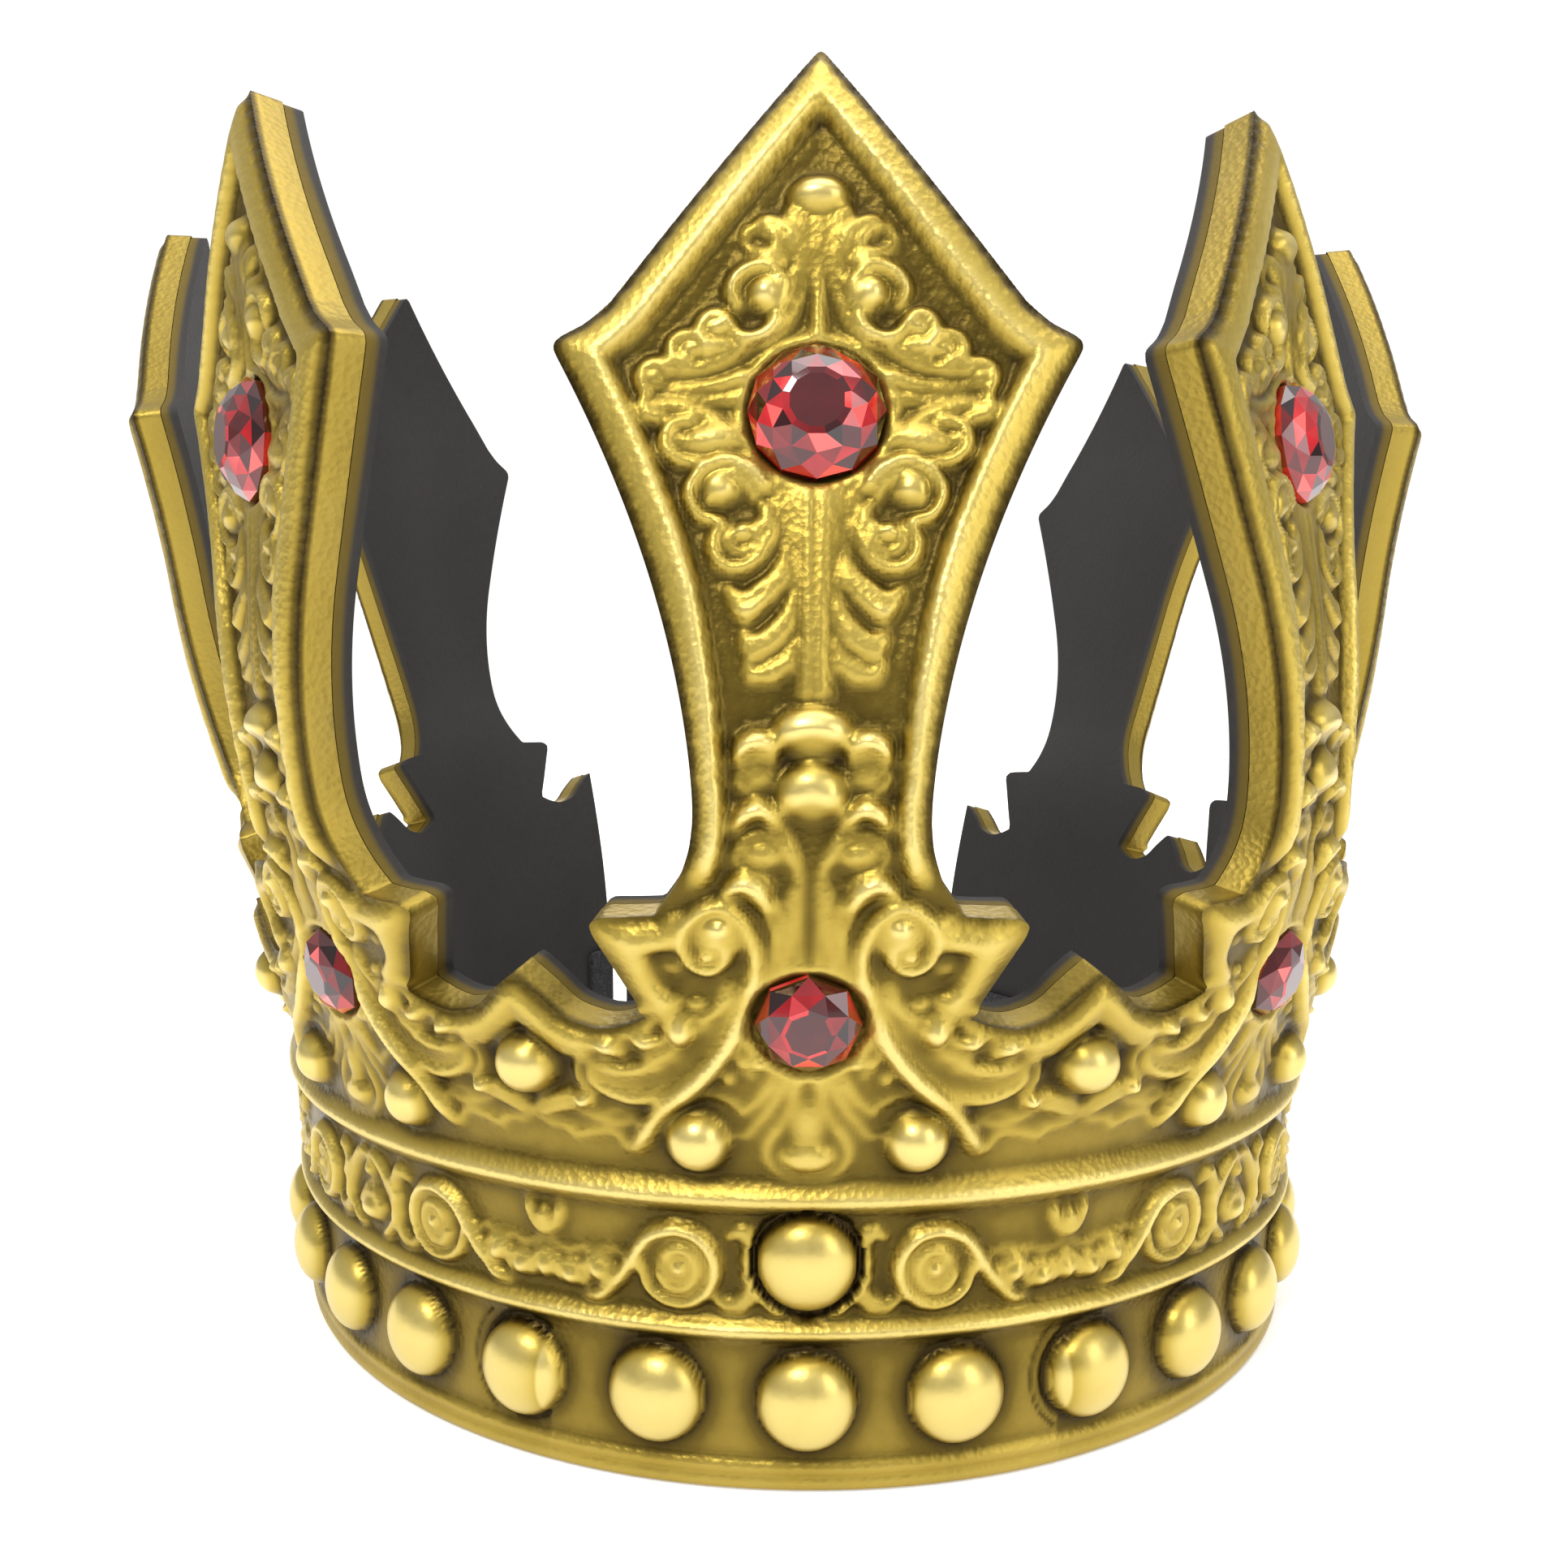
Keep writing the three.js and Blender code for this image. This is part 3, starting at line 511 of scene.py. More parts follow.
def gem_horns(r):
    """The horned arms that hold the lower gem, with beads and teardrops between them."""
    r.stroke([(10.8, 82.5), (11.6, 78.0), (14.6, 72.8), (19.0, 68.2), (24.6, 65.6), (29.4, 66.2),
        (31.4, 68.6)], [0.8, 2.0, 3.2, 3.8, 3.6, 2.6, 1.0], [0.9, 1.5, 1.9, 1.9, 1.6], "leaf", groove=0.2)
    r.stroke([(20.0, 68.8), (24.5, 67.7), (28.2, 69.1), (30.6, 70.6), (33.0, 69.0), (33.6, 65.8),
        (31.4, 62.8)], 0.5, 2.1, "wire", groove=0.35)
    r.stroke([(7.4, 84.5), (8.3, 79.5), (10.4, 73.8), (13.7, 68.8), (17.6, 64.6), (21.4, 60.4),
        (24.2, 56.6), (25.9, 54.4)], [0.8, 1.1, 1.6, 1.9, 1.6, 0.6], [1.6, 2.4, 2.6, 1.4], groove=0.6)
    r.stroke([(8.3, 82.5), (9.5, 77.8), (11.8, 73.0), (15.2, 68.6)], 0.5, 2.6, "wire", groove=0.3)
    r.stroke([(10.6, 80.8), (12.6, 78.0), (15.4, 77.2), (17.8, 78.6), (17.6, 80.6)], 0.55, 2.0,
        "wire", groove=0.4)
    r.dome((15.2, 79.4), (1.5, 0.9), 1.6, polish=1)
    r.dome((17.5, 75.0), (2.1, 2.6), 2.7, groove=0.5, polish=1)
    r.stroke([(15.4, 77.4), (18.2, 77.3), (19.8, 75.8), (19.4, 73.0)], 0.45, 2.2, "wire", groove=0.3)
    r.stroke([(20.2, 73.2), (22.6, 73.0), (25.4, 73.8)], [1.0, 1.6, 0.4], [1.8, 2.6, 1.6], groove=0.5)
    r.stroke([(21.4, 76.6), (23.6, 75.4), (26.0, 73.8), (25.0, 71.5), (21.8, 70.8), (19.4, 71.8)],
        0.5, 1.8, "wire", groove=0.35)
    r.stroke([(25.8, 70.0), (28.2, 71.9), (30.6, 71.6)], [0.5, 1.6, 0.6], [1.8, 2.7, 1.8], groove=0.4)
    r.dome((7.0, 69.4), 0.95, 1.9, groove=0.3, polish=1)
    r.dome((8.7, 69.9), 0.85, 1.8, groove=0.3, polish=1)
    r.stroke([(9.6, 72.0), (9.3, 69.0), (7.6, 67.2)], 0.4, 1.3, "wire")
    r.dome((11.2, 67.0), (0.7, 1.5), 1.5, angle=15, groove=0.2, polish=1)


def field_plates(r):
    """Raised plates between the gem's arms and the upper rib, with the balls that sit on them."""
    r.stroke([(32.4, 62.4), (35.4, 61.8), (39.4, 60.2), (43.0, 58.4)], [0.8, 1.6, 1.6, 0.5],
        [1.4, 1.7, 1.2], "leaf", groove=0.4)
    r.stroke([(24.6, 59.3), (27.4, 58.4), (31.2, 58.8), (34.6, 60.2)], 0.5, 1.1, "wire", groove=0.3)
    r.stroke([(24.4, 59.2), (27.0, 60.4), (31.0, 60.1)], 0.4, 0.9, "wire", groove=0.2)
    r.dome((33.0, 61.9), (1.5, 1.3), 2.2, groove=0.4, polish=1)
    r.stroke([(14.2, 64.6), (18.0, 61.9), (21.0, 58.4), (23.4, 55.2), (25.4, 53.8), (27.2, 54.6),
        (27.9, 56.2), (30, 56.8), (33, 56.2), (35.4, 55.4), (36.3, 56.7), (39.6, 57.1), (42, 58.3)],
        0.5, [1.2, 0.9], "wire", groove=0.35)
    r.stroke([(36.4, 68.6), (38.6, 66.4), (39.4, 63.2), (40.8, 60.4), (43.2, 58.4)], 0.5, 1.2,
        "wire", groove=0.4)
    r.pit((38.4, 67.3), (1.7, 1.1), 1.2, angle=-35)
    r.dome((42, 67.3), (5.1, 5.1), 3.9, groove=0.8, polish=1)
    r.pit((16, 57.4), (6.6, 6.6), 1.0)
    r.stroke([(9.4, 61.0), (10.4, 62.8), (13.6, 64.4), (15.8, 63.8), (19.2, 61.0), (21.8, 57.4)],
        0.45, 1.1, "wire", groove=0.5)
    r.dome((16, 56.6), (5.0, 5.2), 4.0, groove=0.7, ground=-0.4, polish=1)
    for a, b, c in (((3.4, 66.4), (5.2, 62.4), (7.6, 59.0)),
        ((5.0, 66.6), (7.0, 63.4), (9.8, 61.0)), ((1.6, 66.6), (2.6, 62.0), (4.4, 58.4))):
        r.stroke([a, b, c], [0.8, 0.6, 0.4], [1.0, 0.8], groove=0.35)
    r.stroke([(7.6, 59.0), (9.2, 57.3), (11.2, 58.0)], 0.45, 1.0, "wire", groove=0.3)
    r.stroke([(4.4, 58.8), (5.8, 56.0), (5.6, 53.2), (3.8, 51.4), (0, 51.0)], 0.5, 1.3, "wire", groove=0.4)
    r.dome((0, 54.2), (4.3, 2.6), 1.6, groove=0.2, polish=0.5)
    r.dome((0, 59.5), (2.6, 4.6), 1.0, groove=0.3, sharp=0.8)


def ribs(r):
    """Two ribs right round the band, each a wide roll between two thin lines, and the lower rim."""
    for middle, half in ((RIBS[0], 3.0), (RIBS[1], 2.6)):
        x = (r.h - middle) / half
        near = np.abs(x) < 1.35
        roll = 2.0 * np.sqrt(np.clip(1 - (x / 0.62) ** 2, 0, 1))
        lines = 1.1 * np.exp(-(((np.abs(x) - 0.84) / 0.1) ** 2))
        grooves = 0.6 * np.exp(-(((np.abs(x) - 1.08) / 0.09) ** 2))
        grooves = grooves + 0.25 * np.exp(-(((np.abs(x) - 0.68) / 0.05) ** 2))
        r.t = np.where(near, np.where(np.abs(x) < 1, 0, r.t) + np.maximum(roll, lines) - grooves, r.t)
    for height, rise in ((1.0, 1.0), (3.4, 0.9)):
        r.t = np.maximum(r.t, rise * np.exp(-(((r.h - height) / 0.75) ** 2)))
    r.t -= 0.4 * np.exp(-(((r.h - 4.9) / 0.35) ** 2))


def frieze_tile(r, shift):
    """One length of the running scroll between the ribs, starting shift mm from the spire's centre."""

    def at(*points):
        return [(w + shift, h) for w, h in points]

    r.stroke(at((9.6, 36.0), (8.2, 39.0), (9.8, 42.0), (12.2, 40.2)), [0.5, 1.3, 1.0, 0.4], 1.8,
        "leaf", groove=0.4)
    r.stroke(at((9.4, 34.4), (8.4, 31.6), (11.2, 29.4), (14.6, 31.0)), [0.5, 1.3, 1.2, 0.4], 1.8,
        "leaf", groove=0.4)
    r.dome((19.2 + shift, 35.6), (5.4, 6.0), 1.5, sharp=0.7)
    spiral = [(25.6, 35.6), (24.6, 32.0), (21.6, 29.8), (17.6, 29.9), (14.4, 33.0), (14.1, 37.4),
        (16.6, 40.9)]
    spiral += [(20.4, 41.9), (24.0, 40.2), (26.6, 36.6), (29.4, 32.4), (33.6, 28.7), (38.6, 27.1),
        (43.6, 27.4)]
    spiral += [(47.6, 30.0), (50.2, 34.2), (51.0, 38.6)]
    r.stroke(at(*spiral[:8]), [0.6, 0.9, 1.1], 2.3, groove=0.45)
    r.stroke(at(*spiral[7:]), [1.2, 1.2, 1.0, 0.7], [2.3, 1.9, 1.7], groove=0.5)
    r.stroke(at((22.8, 34.6), (21.2, 32.0), (18.2, 32.2), (16.6, 35.2), (17.8, 38.4), (20.6, 38.6),
        (21.6, 36.4)), 0.6, 2.3, groove=0.45)
    r.dome((19.4 + shift, 35.6), 1.2, 2.7, groove=0.3, polish=1)
    for w, h, size, tilt in ((32.8, 33.4, 2.3, 40), (37.6, 32.0, 2.4, 20), (42.6, 32.6, 2.9, -20)):
        r.dome((w + shift, h), (size, size * 0.8), 1.9, angle=tilt, groove=0.5, polish=1)
        r.stroke(at((w - size, h - 1.6), (w - size - 0.2, h + 1.2), (w, h + size),
            (w + size, h + 0.8), (w + size * 0.7, h - 1.6)), 0.5, 2.2, "wire", groove=0.45)
    r.stroke(at((27.6, 36.4), (30.6, 37.0), (34.6, 36.6), (38.6, 36.0), (41.6, 37.0), (44.4, 36.0),
        (46.6, 33.0)), 0.45, 1.3, "wire", groove=0.4)
    r.stroke(at((39.2, 43.0), (39.8, 39.8), (41.6, 38.6), (43.0, 40.2)), 0.55, 1.9, groove=0.4)
    r.dome((41.4 + shift, 40.4), 1.0, 1.9, groove=0.2, polish=1)
    r.stroke(at((40.8, 41.4), (43.8, 42.4), (46.8, 40.4), (49.0, 36.4), (50.0, 32.6)),
        [0.5, 1.1, 1.2, 0.6], 1.9, "leaf", groove=0.45)


def ball_band(r, w_signed, spire):
    """Big domes between the lower rib and the rim. They're spaced along the strip, not by unit."""
    first = math.ceil((spire * PITCH - HALF_PITCH - 10) / BALL_SPACING)
    last = math.floor((spire * PITCH + HALF_PITCH + 10) / BALL_SPACING)
    t, smooth = np.zeros(w_signed.shape), np.zeros(w_signed.shape)
    for k in range(max(first, -12), min(last, 12) + 1):
        q = np.hypot(w_signed - (k * BALL_SPACING - spire * PITCH), r.h - 14.4) / 7.9
        t = np.maximum(t, 5.2 * np.sqrt(np.clip(1 - q * q, 0, 1)))
        t = t - 0.8 * np.exp(-(((q - 1.06) / 0.045) ** 2))
        t = t - 0.5 * np.exp(-(((q - 1.32) / 0.03) ** 2)) * (r.h < 22.6) * (r.h > 5.4)
        smooth = np.maximum(smooth, q < 1)
    on = (r.h < 23.2) & (r.h > 4.6)
    return np.where(on, t, 0), np.where(on, smooth, 0)


def gem_seats(r):
    """Flat seats for the gems, each with a thin raised lip round it."""
    for gem in (SPIRE_GEM, BAND_GEM):
        gap = np.hypot(r.w, r.h - gem["height"]) - gem["radius"]
        lip = 1.5 * np.exp(-(((gap - 0.85) / 0.45) ** 2))
        r.t = np.where(gap < 2.2, np.maximum(r.t * smoothstep(0.2, 2.2, gap), lip), r.t)
        r.t = np.where(gap < 0.3, SEAT, r.t)


def unit_relief(w, h):
    """The relief over one unit, without the domes that don't repeat with it."""
    r = Relief(w, h)
    frame_moulding(r)
    leaf_wing(r)
    roof_moulding(r)
    stems(r)
    finial_and_strands(r)
    upper_leaves(r)
    lower_scrolls(r)
    neck_domes(r)
    volute(r)
    gem_horns(r)
    field_plates(r)
    for tile in (-HALF_PITCH, 0.0):
        frieze_tile(r, tile)
    ribs(r)
    gem_seats(r)
    return r


# ---------------------------------------------------------------- meshes
CELL = 0.6  # size of the relief's mesh
COLUMNS = int(round(PITCH / CELL))
ROWS = int(round(TIP_HEIGHT / CELL))


def unit_grid(columns, rows):
    """Points and kept cells of one unit, with the points on its border moved onto the outline."""
    w = np.linspace(-HALF_PITCH, HALF_PITCH, columns + 1)
    h = np.linspace(0, TIP_HEIGHT, rows + 1)
    W, H = np.meshgrid(w, h, indexing="ij")
    mid_w, mid_h = np.meshgrid((w[1:] + w[:-1]) / 2, (h[1:] + h[:-1]) / 2, indexing="ij")
    kept = inside_unit(np.abs(mid_w), mid_h)
    around = np.zeros(W.shape, int)
    wide = np.zeros((columns + 2, rows + 2), bool)
    wide[1:-1, 1:-1] = kept
    wide[0, 1:-1], wide[-1, 1:-1] = kept[-1], kept[0]
    for a in (0, 1):
        for b in (0, 1):
            around += wide[a : a + columns + 1, b : b + rows + 1]
    full = np.where(H < 1e-6, 2, 4)
    border = (around > 0) & (around < full)
    _, spot = distance_to(np.vstack([[HALF_PITCH + 1, 81.4], UPPER_EDGE]), np.abs(W[border]), H[border])
    side = np.sign(W[border])
    W[border], H[border] = np.where(side == 0, 0, side * np.minimum(spot[:, 0], HALF_PITCH)), spot[:, 1]
    seam = (np.arange(columns + 1) % columns == 0)[:, None] & np.ones(rows + 1, bool)
    fixed = border | (H < 1e-6) | (around == 0) | seam
    for _ in range(4):
        for field in (W, H):
            mean = field.copy()
            mean[1:-1, 1:-1] = (field[:-2, 1:-1] + field[2:, 1:-1] + field[1:-1, :-2] + field[1:-1, 2:]) / 4
            near_border = ~fixed
            field[near_border] = (0.5 * field + 0.5 * mean)[near_border]
    return W, H, kept, around > 0


def blur(field, radius):
    """A soft average over radius cells each way."""
    kernel = np.exp(-0.5 * (np.arange(-2 * radius, 2 * radius + 1) / radius) ** 2)
    kernel /= kernel.sum()
    for axis in (0, 1):
        pad = [(2 * radius, 2 * radius) if a == axis else (0, 0) for a in (0, 1)]
        wide = np.pad(field, pad, mode="edge")
        size = field.shape[axis]
        field = sum(k * np.take(wide, range(i, i + size), axis=axis) for i, k in enumerate(kernel))
    return field


def strip_faces(kept):
    """Quads of the whole strip over a global grid of points, from one unit's kept cells."""
    columns, rows = kept.shape
    everywhere = np.vstack([kept] * SPIRES)
    c, r = np.nonzero(everywhere)
    at = lambda i, j: i * (rows + 1) + j
    return np.stack([at(c, r), at(c + 1, r), at(c + 1, r + 1), at(c, r + 1)], axis=-1)


def border_edges(quads):
    """Edges that only one quad has, directed as in that quad."""
    edges = np.vstack([quads[:, [k, (k + 1) % 4]] for k in range(4)]).astype(np.int64)
    key = np.sort(edges, axis=1)
    key = key[:, 0] * (quads.max() + 1) + key[:, 1]
    _, first, count = np.unique(key, return_index=True, return_counts=True)
    return edges[first[count == 1]]


def make_mesh(name, points, faces, attributes=None, sharp=None):
    """An object from quads or mixed faces, with point attributes and sharp edges, shaded smooth."""
    mesh = bpy.data.meshes.new(name)
    if isinstance(faces, np.ndarray):
        mesh.vertices.add(len(points))
        mesh.vertices.foreach_set("co", np.asarray(points, np.float32).ravel())
        mesh.loops.add(faces.size)
        mesh.loops.foreach_set("vertex_index", faces.astype(np.int32).ravel())
        mesh.polygons.add(len(faces))
        mesh.polygons.foreach_set("loop_start", np.arange(0, faces.size, faces.shape[1], dtype=np.int32))
        mesh.update(calc_edges=True)
        mesh.validate()
    else:
        mesh.from_pydata([tuple(p) for p in points], [], faces)
    mesh.polygons.foreach_set("use_smooth", np.ones(len(mesh.polygons), bool))
    for key, values in (attributes or {}).items():
        mesh.attributes.new(key, "FLOAT", "POINT").data.foreach_set("value", np.asarray(values, np.float32))
    if sharp is not None:
        ends = np.zeros(len(mesh.edges) * 2, np.int32)
        mesh.edges.foreach_get("vertices", ends)
        ends = np.sort(ends.reshape(-1, 2), axis=1).astype(np.int64)
        wanted = np.sort(sharp, axis=1)
        size = len(points) + 1
        hit = np.isin(ends[:, 0] * size + ends[:, 1], wanted[:, 0] * size + wanted[:, 1])
        mesh.attributes.new("sharp_edge", "BOOLEAN", "EDGE").data.foreach_set("value", hit)
    obj = bpy.data.objects.new(name, mesh)
    bpy.context.scene.collection.objects.link(obj)
    return obj


def compact(points, quads, values):
    """Drops the points that no quad uses."""
    used = np.zeros(len(points), bool)
    used[quads.ravel()] = True
    index = np.cumsum(used) - 1
    return points[used], index[quads], {k: v[used] for k, v in values.items()}


def build_face():
    """The gold relief, with its cut foam edge."""
    W, H, kept, _ = unit_grid(COLUMNS, ROWS)
    base = unit_relief(W, H)
    soft = blur(base.t, 1)
    base.t = np.where(soft > 0, RELIEF_GAIN * soft, soft)
    points, values = [], {"painted_shade_and_highlight": [], "smooth": [], "edge": []}
    grain = np.random.default_rng(7).normal(size=W.shape)
    for spire in range(-LAST_SPIRE, LAST_SPIRE + 1):
        balls, polish = ball_band(base, W, spire)
        t = base.t + balls
        smooth = np.maximum(base.smooth, polish)
        if spire == 0:
            q = np.hypot(W, H - 36.9) / 7.8
            t = np.where(q < 1.12, np.where(q < 1, 5.0 * np.sqrt(np.clip(1 - q * q, 0, 1)), -0.6), t)
            smooth = np.where(q < 1, 1, smooth)
        # painted shade and highlight: how far the relief sinks below or stands above its surroundings,
        # darkening the gold in hollows and brightening it on ridges
        painted_shade_and_highlight = t - 0.5 * blur(t, 3) - 0.5 * blur(t, 8)
        t = t + 0.015 * blur(grain, 1) * (1 - smooth)
        last = COLUMNS + 1 if spire == LAST_SPIRE else COLUMNS
        part = slice(0, last)
        points.append(bend(spire, W[part], H[part], t[part]).reshape(-1, 3))
        values["painted_shade_and_highlight"].append(painted_shade_and_highlight[part].ravel())
        values["smooth"].append(smooth[part].ravel())
        values["edge"].append(np.zeros(W[part].size))
    points = np.vstack(points)
    values = {k: np.concatenate(v) for k, v in values.items()}
    quads = strip_faces(kept)
    s, h = strip_coordinates(W, H)
    values["s"], values["h"] = s, h
    points, quads, values = compact(points, quads, values)
    return close_down(points, quads, values, [-1.0, -2.2, -3.5, -FACE])


def strip_coordinates(W, H):
    """Position along and up the strip of every point of the whole grid."""
    s, h = [], []
    for spire in range(-LAST_SPIRE, LAST_SPIRE + 1):
        part = slice(0, W.shape[0] if spire == LAST_SPIRE else W.shape[0] - 1)
        s.append((W[part] + spire * PITCH).ravel())
        h.append(H[part].ravel())
    return np.concatenate(s), np.concatenate(h)


def bend_along(s, h, t):
    """bend for points given by their place along the whole strip."""
    spire = np.clip(np.round(s / PITCH), -LAST_SPIRE, LAST_SPIRE).astype(int)
    out = np.zeros((*s.shape, 3))
    for k in np.unique(spire):
        chosen = spire == k
        out[chosen] = bend(int(k), s[chosen] - k * PITCH, h[chosen], np.broadcast_to(t, s.shape)[chosen])
    return out


FACE_SHADE = 0.3  # how far the cut edge of the face fades to bare foam


def close_down(points, quads, values, depths):
    """Adds the cut edge of a layer: rings of points at those depths below the border."""
    rim = border_edges(quads)
    ring = np.unique(rim)
    place = np.full(len(points), -1)
    place[ring] = np.arange(len(ring))
    s, h = values["s"][ring], values["h"][ring]
    rough = np.random.default_rng(3).normal(size=len(ring)) * 0.00006
    all_points, all_quads = [points], [quads]
    total = len(points)
    extra = {k: [v] for k, v in values.items()}
    previous = ring
    for n, depth in enumerate(depths):
        level = bend_along(s, h, depth)
        level[:, :2] *= 1 + rough[:, None] * (n % 2)
        here = total + np.arange(len(ring))
        up = previous[place[rim]] if n else rim
        down = here[place[rim]]
        all_quads.append(np.stack([up[:, 1], up[:, 0], down[:, 0], down[:, 1]], axis=-1))
        all_points.append(level)
        for k in values:
            if k in "sh":
                extra[k].append(values[k][ring])
            else:
                shade = FACE_SHADE * (n + 1) / len(depths) if k == "edge" else 0.0
                extra[k].append(np.full(len(ring), shade))
        previous = here
        total += len(ring)
    return np.vstack(all_points), np.vstack(all_quads), {k: np.concatenate(v) for k,
        v in extra.items()}, rim


def build_backing():
    """The black foam behind the relief: a smooth inner face and a cut edge, closed in front."""
    cell = 1.2
    W, H, kept, _ = unit_grid(int(round(PITCH / cell)), int(round(TIP_HEIGHT / cell)))
    s, h = strip_coordinates(W, H)
    quads = strip_faces(kept)
    values = {"s": s, "h": h, "edge": np.zeros(len(s))}
    front = bend_along(s, h, -FACE - GLUE * 0.5)
    front, quads, values = compact(front, quads, values)
    inner = bend_along(values["s"], values["h"], -FACE - GLUE - BACKING)
    count = len(front)
    rim = border_edges(quads)
    wall = np.stack([rim[:, 1], rim[:, 0], rim[:, 0] + count, rim[:, 1] + count], axis=-1)
    points = np.vstack([front, inner])
    faces = np.vstack([quads, quads[:, ::-1] + count, wall])
    values = {k: np.concatenate([v, v if k != "edge" else v + 1]) for k, v in values.items()}
    return points, faces, values, np.vstack([rim, rim + count])


# ---------------------------------------------------------------- materials
def new_material(name):
    material = bpy.data.materials.new(name)
    material.use_nodes = True
    nodes, links = material.node_tree.nodes, material.node_tree.links
    nodes.clear()
    out = nodes.new("ShaderNodeOutputMaterial")
    shader = nodes.new("ShaderNodeBsdfPrincipled")
    links.new(shader.outputs[0], out.inputs[0])
    return material, nodes, links, shader


def ramp(nodes, stops):
    node = nodes.new("ShaderNodeValToRGB")
    elements = node.color_ramp.elements
    while len(elements) < len(stops):
        elements.new(0.5)
    for element, (position, colour) in zip(elements, stops):
        element.position = position
        element.color = (*colour, 1) if len(colour) == 3 else colour
    return node


def noise(nodes, links, scale, detail=3.0, roughness=0.5):
    node = nodes.new("ShaderNodeTexNoise")
    node.inputs["Scale"].default_value = scale
    node.inputs["Detail"].default_value = detail
    node.inputs["Roughness"].default_value = roughness
    where = nodes.new("ShaderNodeTexCoord")
    links.new(where.outputs["Object"], node.inputs["Vector"])
    return node


def math_node(nodes, links, operation, a, b=None, clamp=False):
    node = nodes.new("ShaderNodeMath")
    node.operation = operation
    node.use_clamp = clamp
    for socket, value in zip(node.inputs, (a, b)):
        if value is None:
            continue
        if isinstance(value, (int, float)):
            socket.default_value = value
        else:
            links.new(value, socket)
    return node.outputs[0]


def about_half(nodes, links, value, gain):
    """gain times how far value is from a half."""
    return math_node(nodes, links, "MULTIPLY", math_node(nodes, links, "SUBTRACT", value, 0.5), gain)


def attribute(nodes, name):
    node = nodes.new("ShaderNodeAttribute")
    node.attribute_name = name
    return node.outputs["Fac"]


def gold_paint():
    """Gold paint on moulded foam, grained: painted shade makes it dark in the hollows and a painted
    highlight makes it bright on the ridges.
    """
    material, nodes, links, shader = new_material("gold_paint_with_painted_shade")
    painted_shade_and_highlight, smooth, edge = (attribute(nodes, n) for n in ("painted_shade_and_highlight", "smooth", "edge"))
    blotch = noise(nodes, links, 55, 4, 0.6)
    fine = noise(nodes, links, 420, 3, 0.65)
    # painted shade and highlight: the gold's tone follows the relief's hollows and ridges, plus random
    # blotches and fine grain
    level = math_node(nodes, links, "MULTIPLY_ADD", painted_shade_and_highlight, 0.42)
    level.node.inputs[2].default_value = 0.5
    level = math_node(nodes, links, "ADD", level, about_half(nodes, links, blotch.outputs["Fac"], 0.22))
    level = math_node(nodes, links, "ADD", level, about_half(nodes, links, fine.outputs["Fac"],
        0.06), clamp=True)
    # from near-black painted shade in the deepest hollows to a pale painted highlight on the highest ridges
    tone = ramp(nodes, [
        (0.0, (0.030, 0.018, 0.002)),
        (0.28, (0.13, 0.088, 0.011)),
        (0.5, (0.36, 0.255, 0.040)),
        (0.74, (0.50, 0.37, 0.075)),
        (1.0, (0.70, 0.56, 0.19)),
    ])
    links.new(level, tone.inputs["Fac"])
    fade = ramp(nodes, [(0.0, (0, 0, 0)), (0.34, (0.15, 0.15, 0.15)), (0.62, (0.85, 0.85, 0.85)),
        (1.0, (1, 1, 1))])
    ragged = math_node(nodes, links, "ADD", edge, about_half(nodes, links, blotch.outputs["Fac"], 0.5))
    links.new(ragged, fade.inputs["Fac"])
    mix = nodes.new("ShaderNodeMix")
    mix.data_type = "RGBA"
    links.new(fade.outputs["Color"], mix.inputs["Factor"])
    links.new(tone.outputs["Color"], mix.inputs[6])
    mix.inputs[7].default_value = (0.022, 0.019, 0.016, 1)
    links.new(mix.outputs[2], shader.inputs["Base Color"])
    links.new(math_node(nodes, links, "MULTIPLY_ADD", fade.outputs["Color"], -0.85),
        shader.inputs["Metallic"])
    shader.inputs["Metallic"].links[0].from_node.inputs[2].default_value = 0.85
    rough = math_node(nodes, links, "MULTIPLY_ADD", fine.outputs["Fac"], 0.16)
    rough.node.inputs[2].default_value = 0.32
    rough = math_node(nodes, links, "SUBTRACT", rough, math_node(nodes, links, "MULTIPLY", smooth, 0.06))
    rough = math_node(nodes, links, "ADD", rough,
        math_node(nodes, links, "MULTIPLY", fade.outputs["Color"], 0.4), clamp=True)
    links.new(rough, shader.inputs["Roughness"])
    pores = nodes.new("ShaderNodeTexVoronoi")
    pores.feature = "F1"
    pores.inputs["Scale"].default_value = 900
    where = nodes.new("ShaderNodeTexCoord")
    links.new(where.outputs["Object"], pores.inputs["Vector"])
    grain = math_node(nodes, links, "ADD",
        math_node(nodes, links, "MULTIPLY", pores.outputs["Distance"], 0.7), math_node(nodes, links,
        "MULTIPLY", fine.outputs["Fac"], 0.8))
    grain = math_node(nodes, links, "MULTIPLY", grain, math_node(nodes, links, "SUBTRACT", 1.0,
        math_node(nodes, links, "MULTIPLY", smooth, 0.82)))
    bump = nodes.new("ShaderNodeBump")
    bump.inputs["Strength"].default_value = 0.22
    bump.inputs["Distance"].default_value = 0.0006
    links.new(grain, bump.inputs["Height"])
    links.new(bump.outputs[0], shader.inputs["Normal"])
    return material


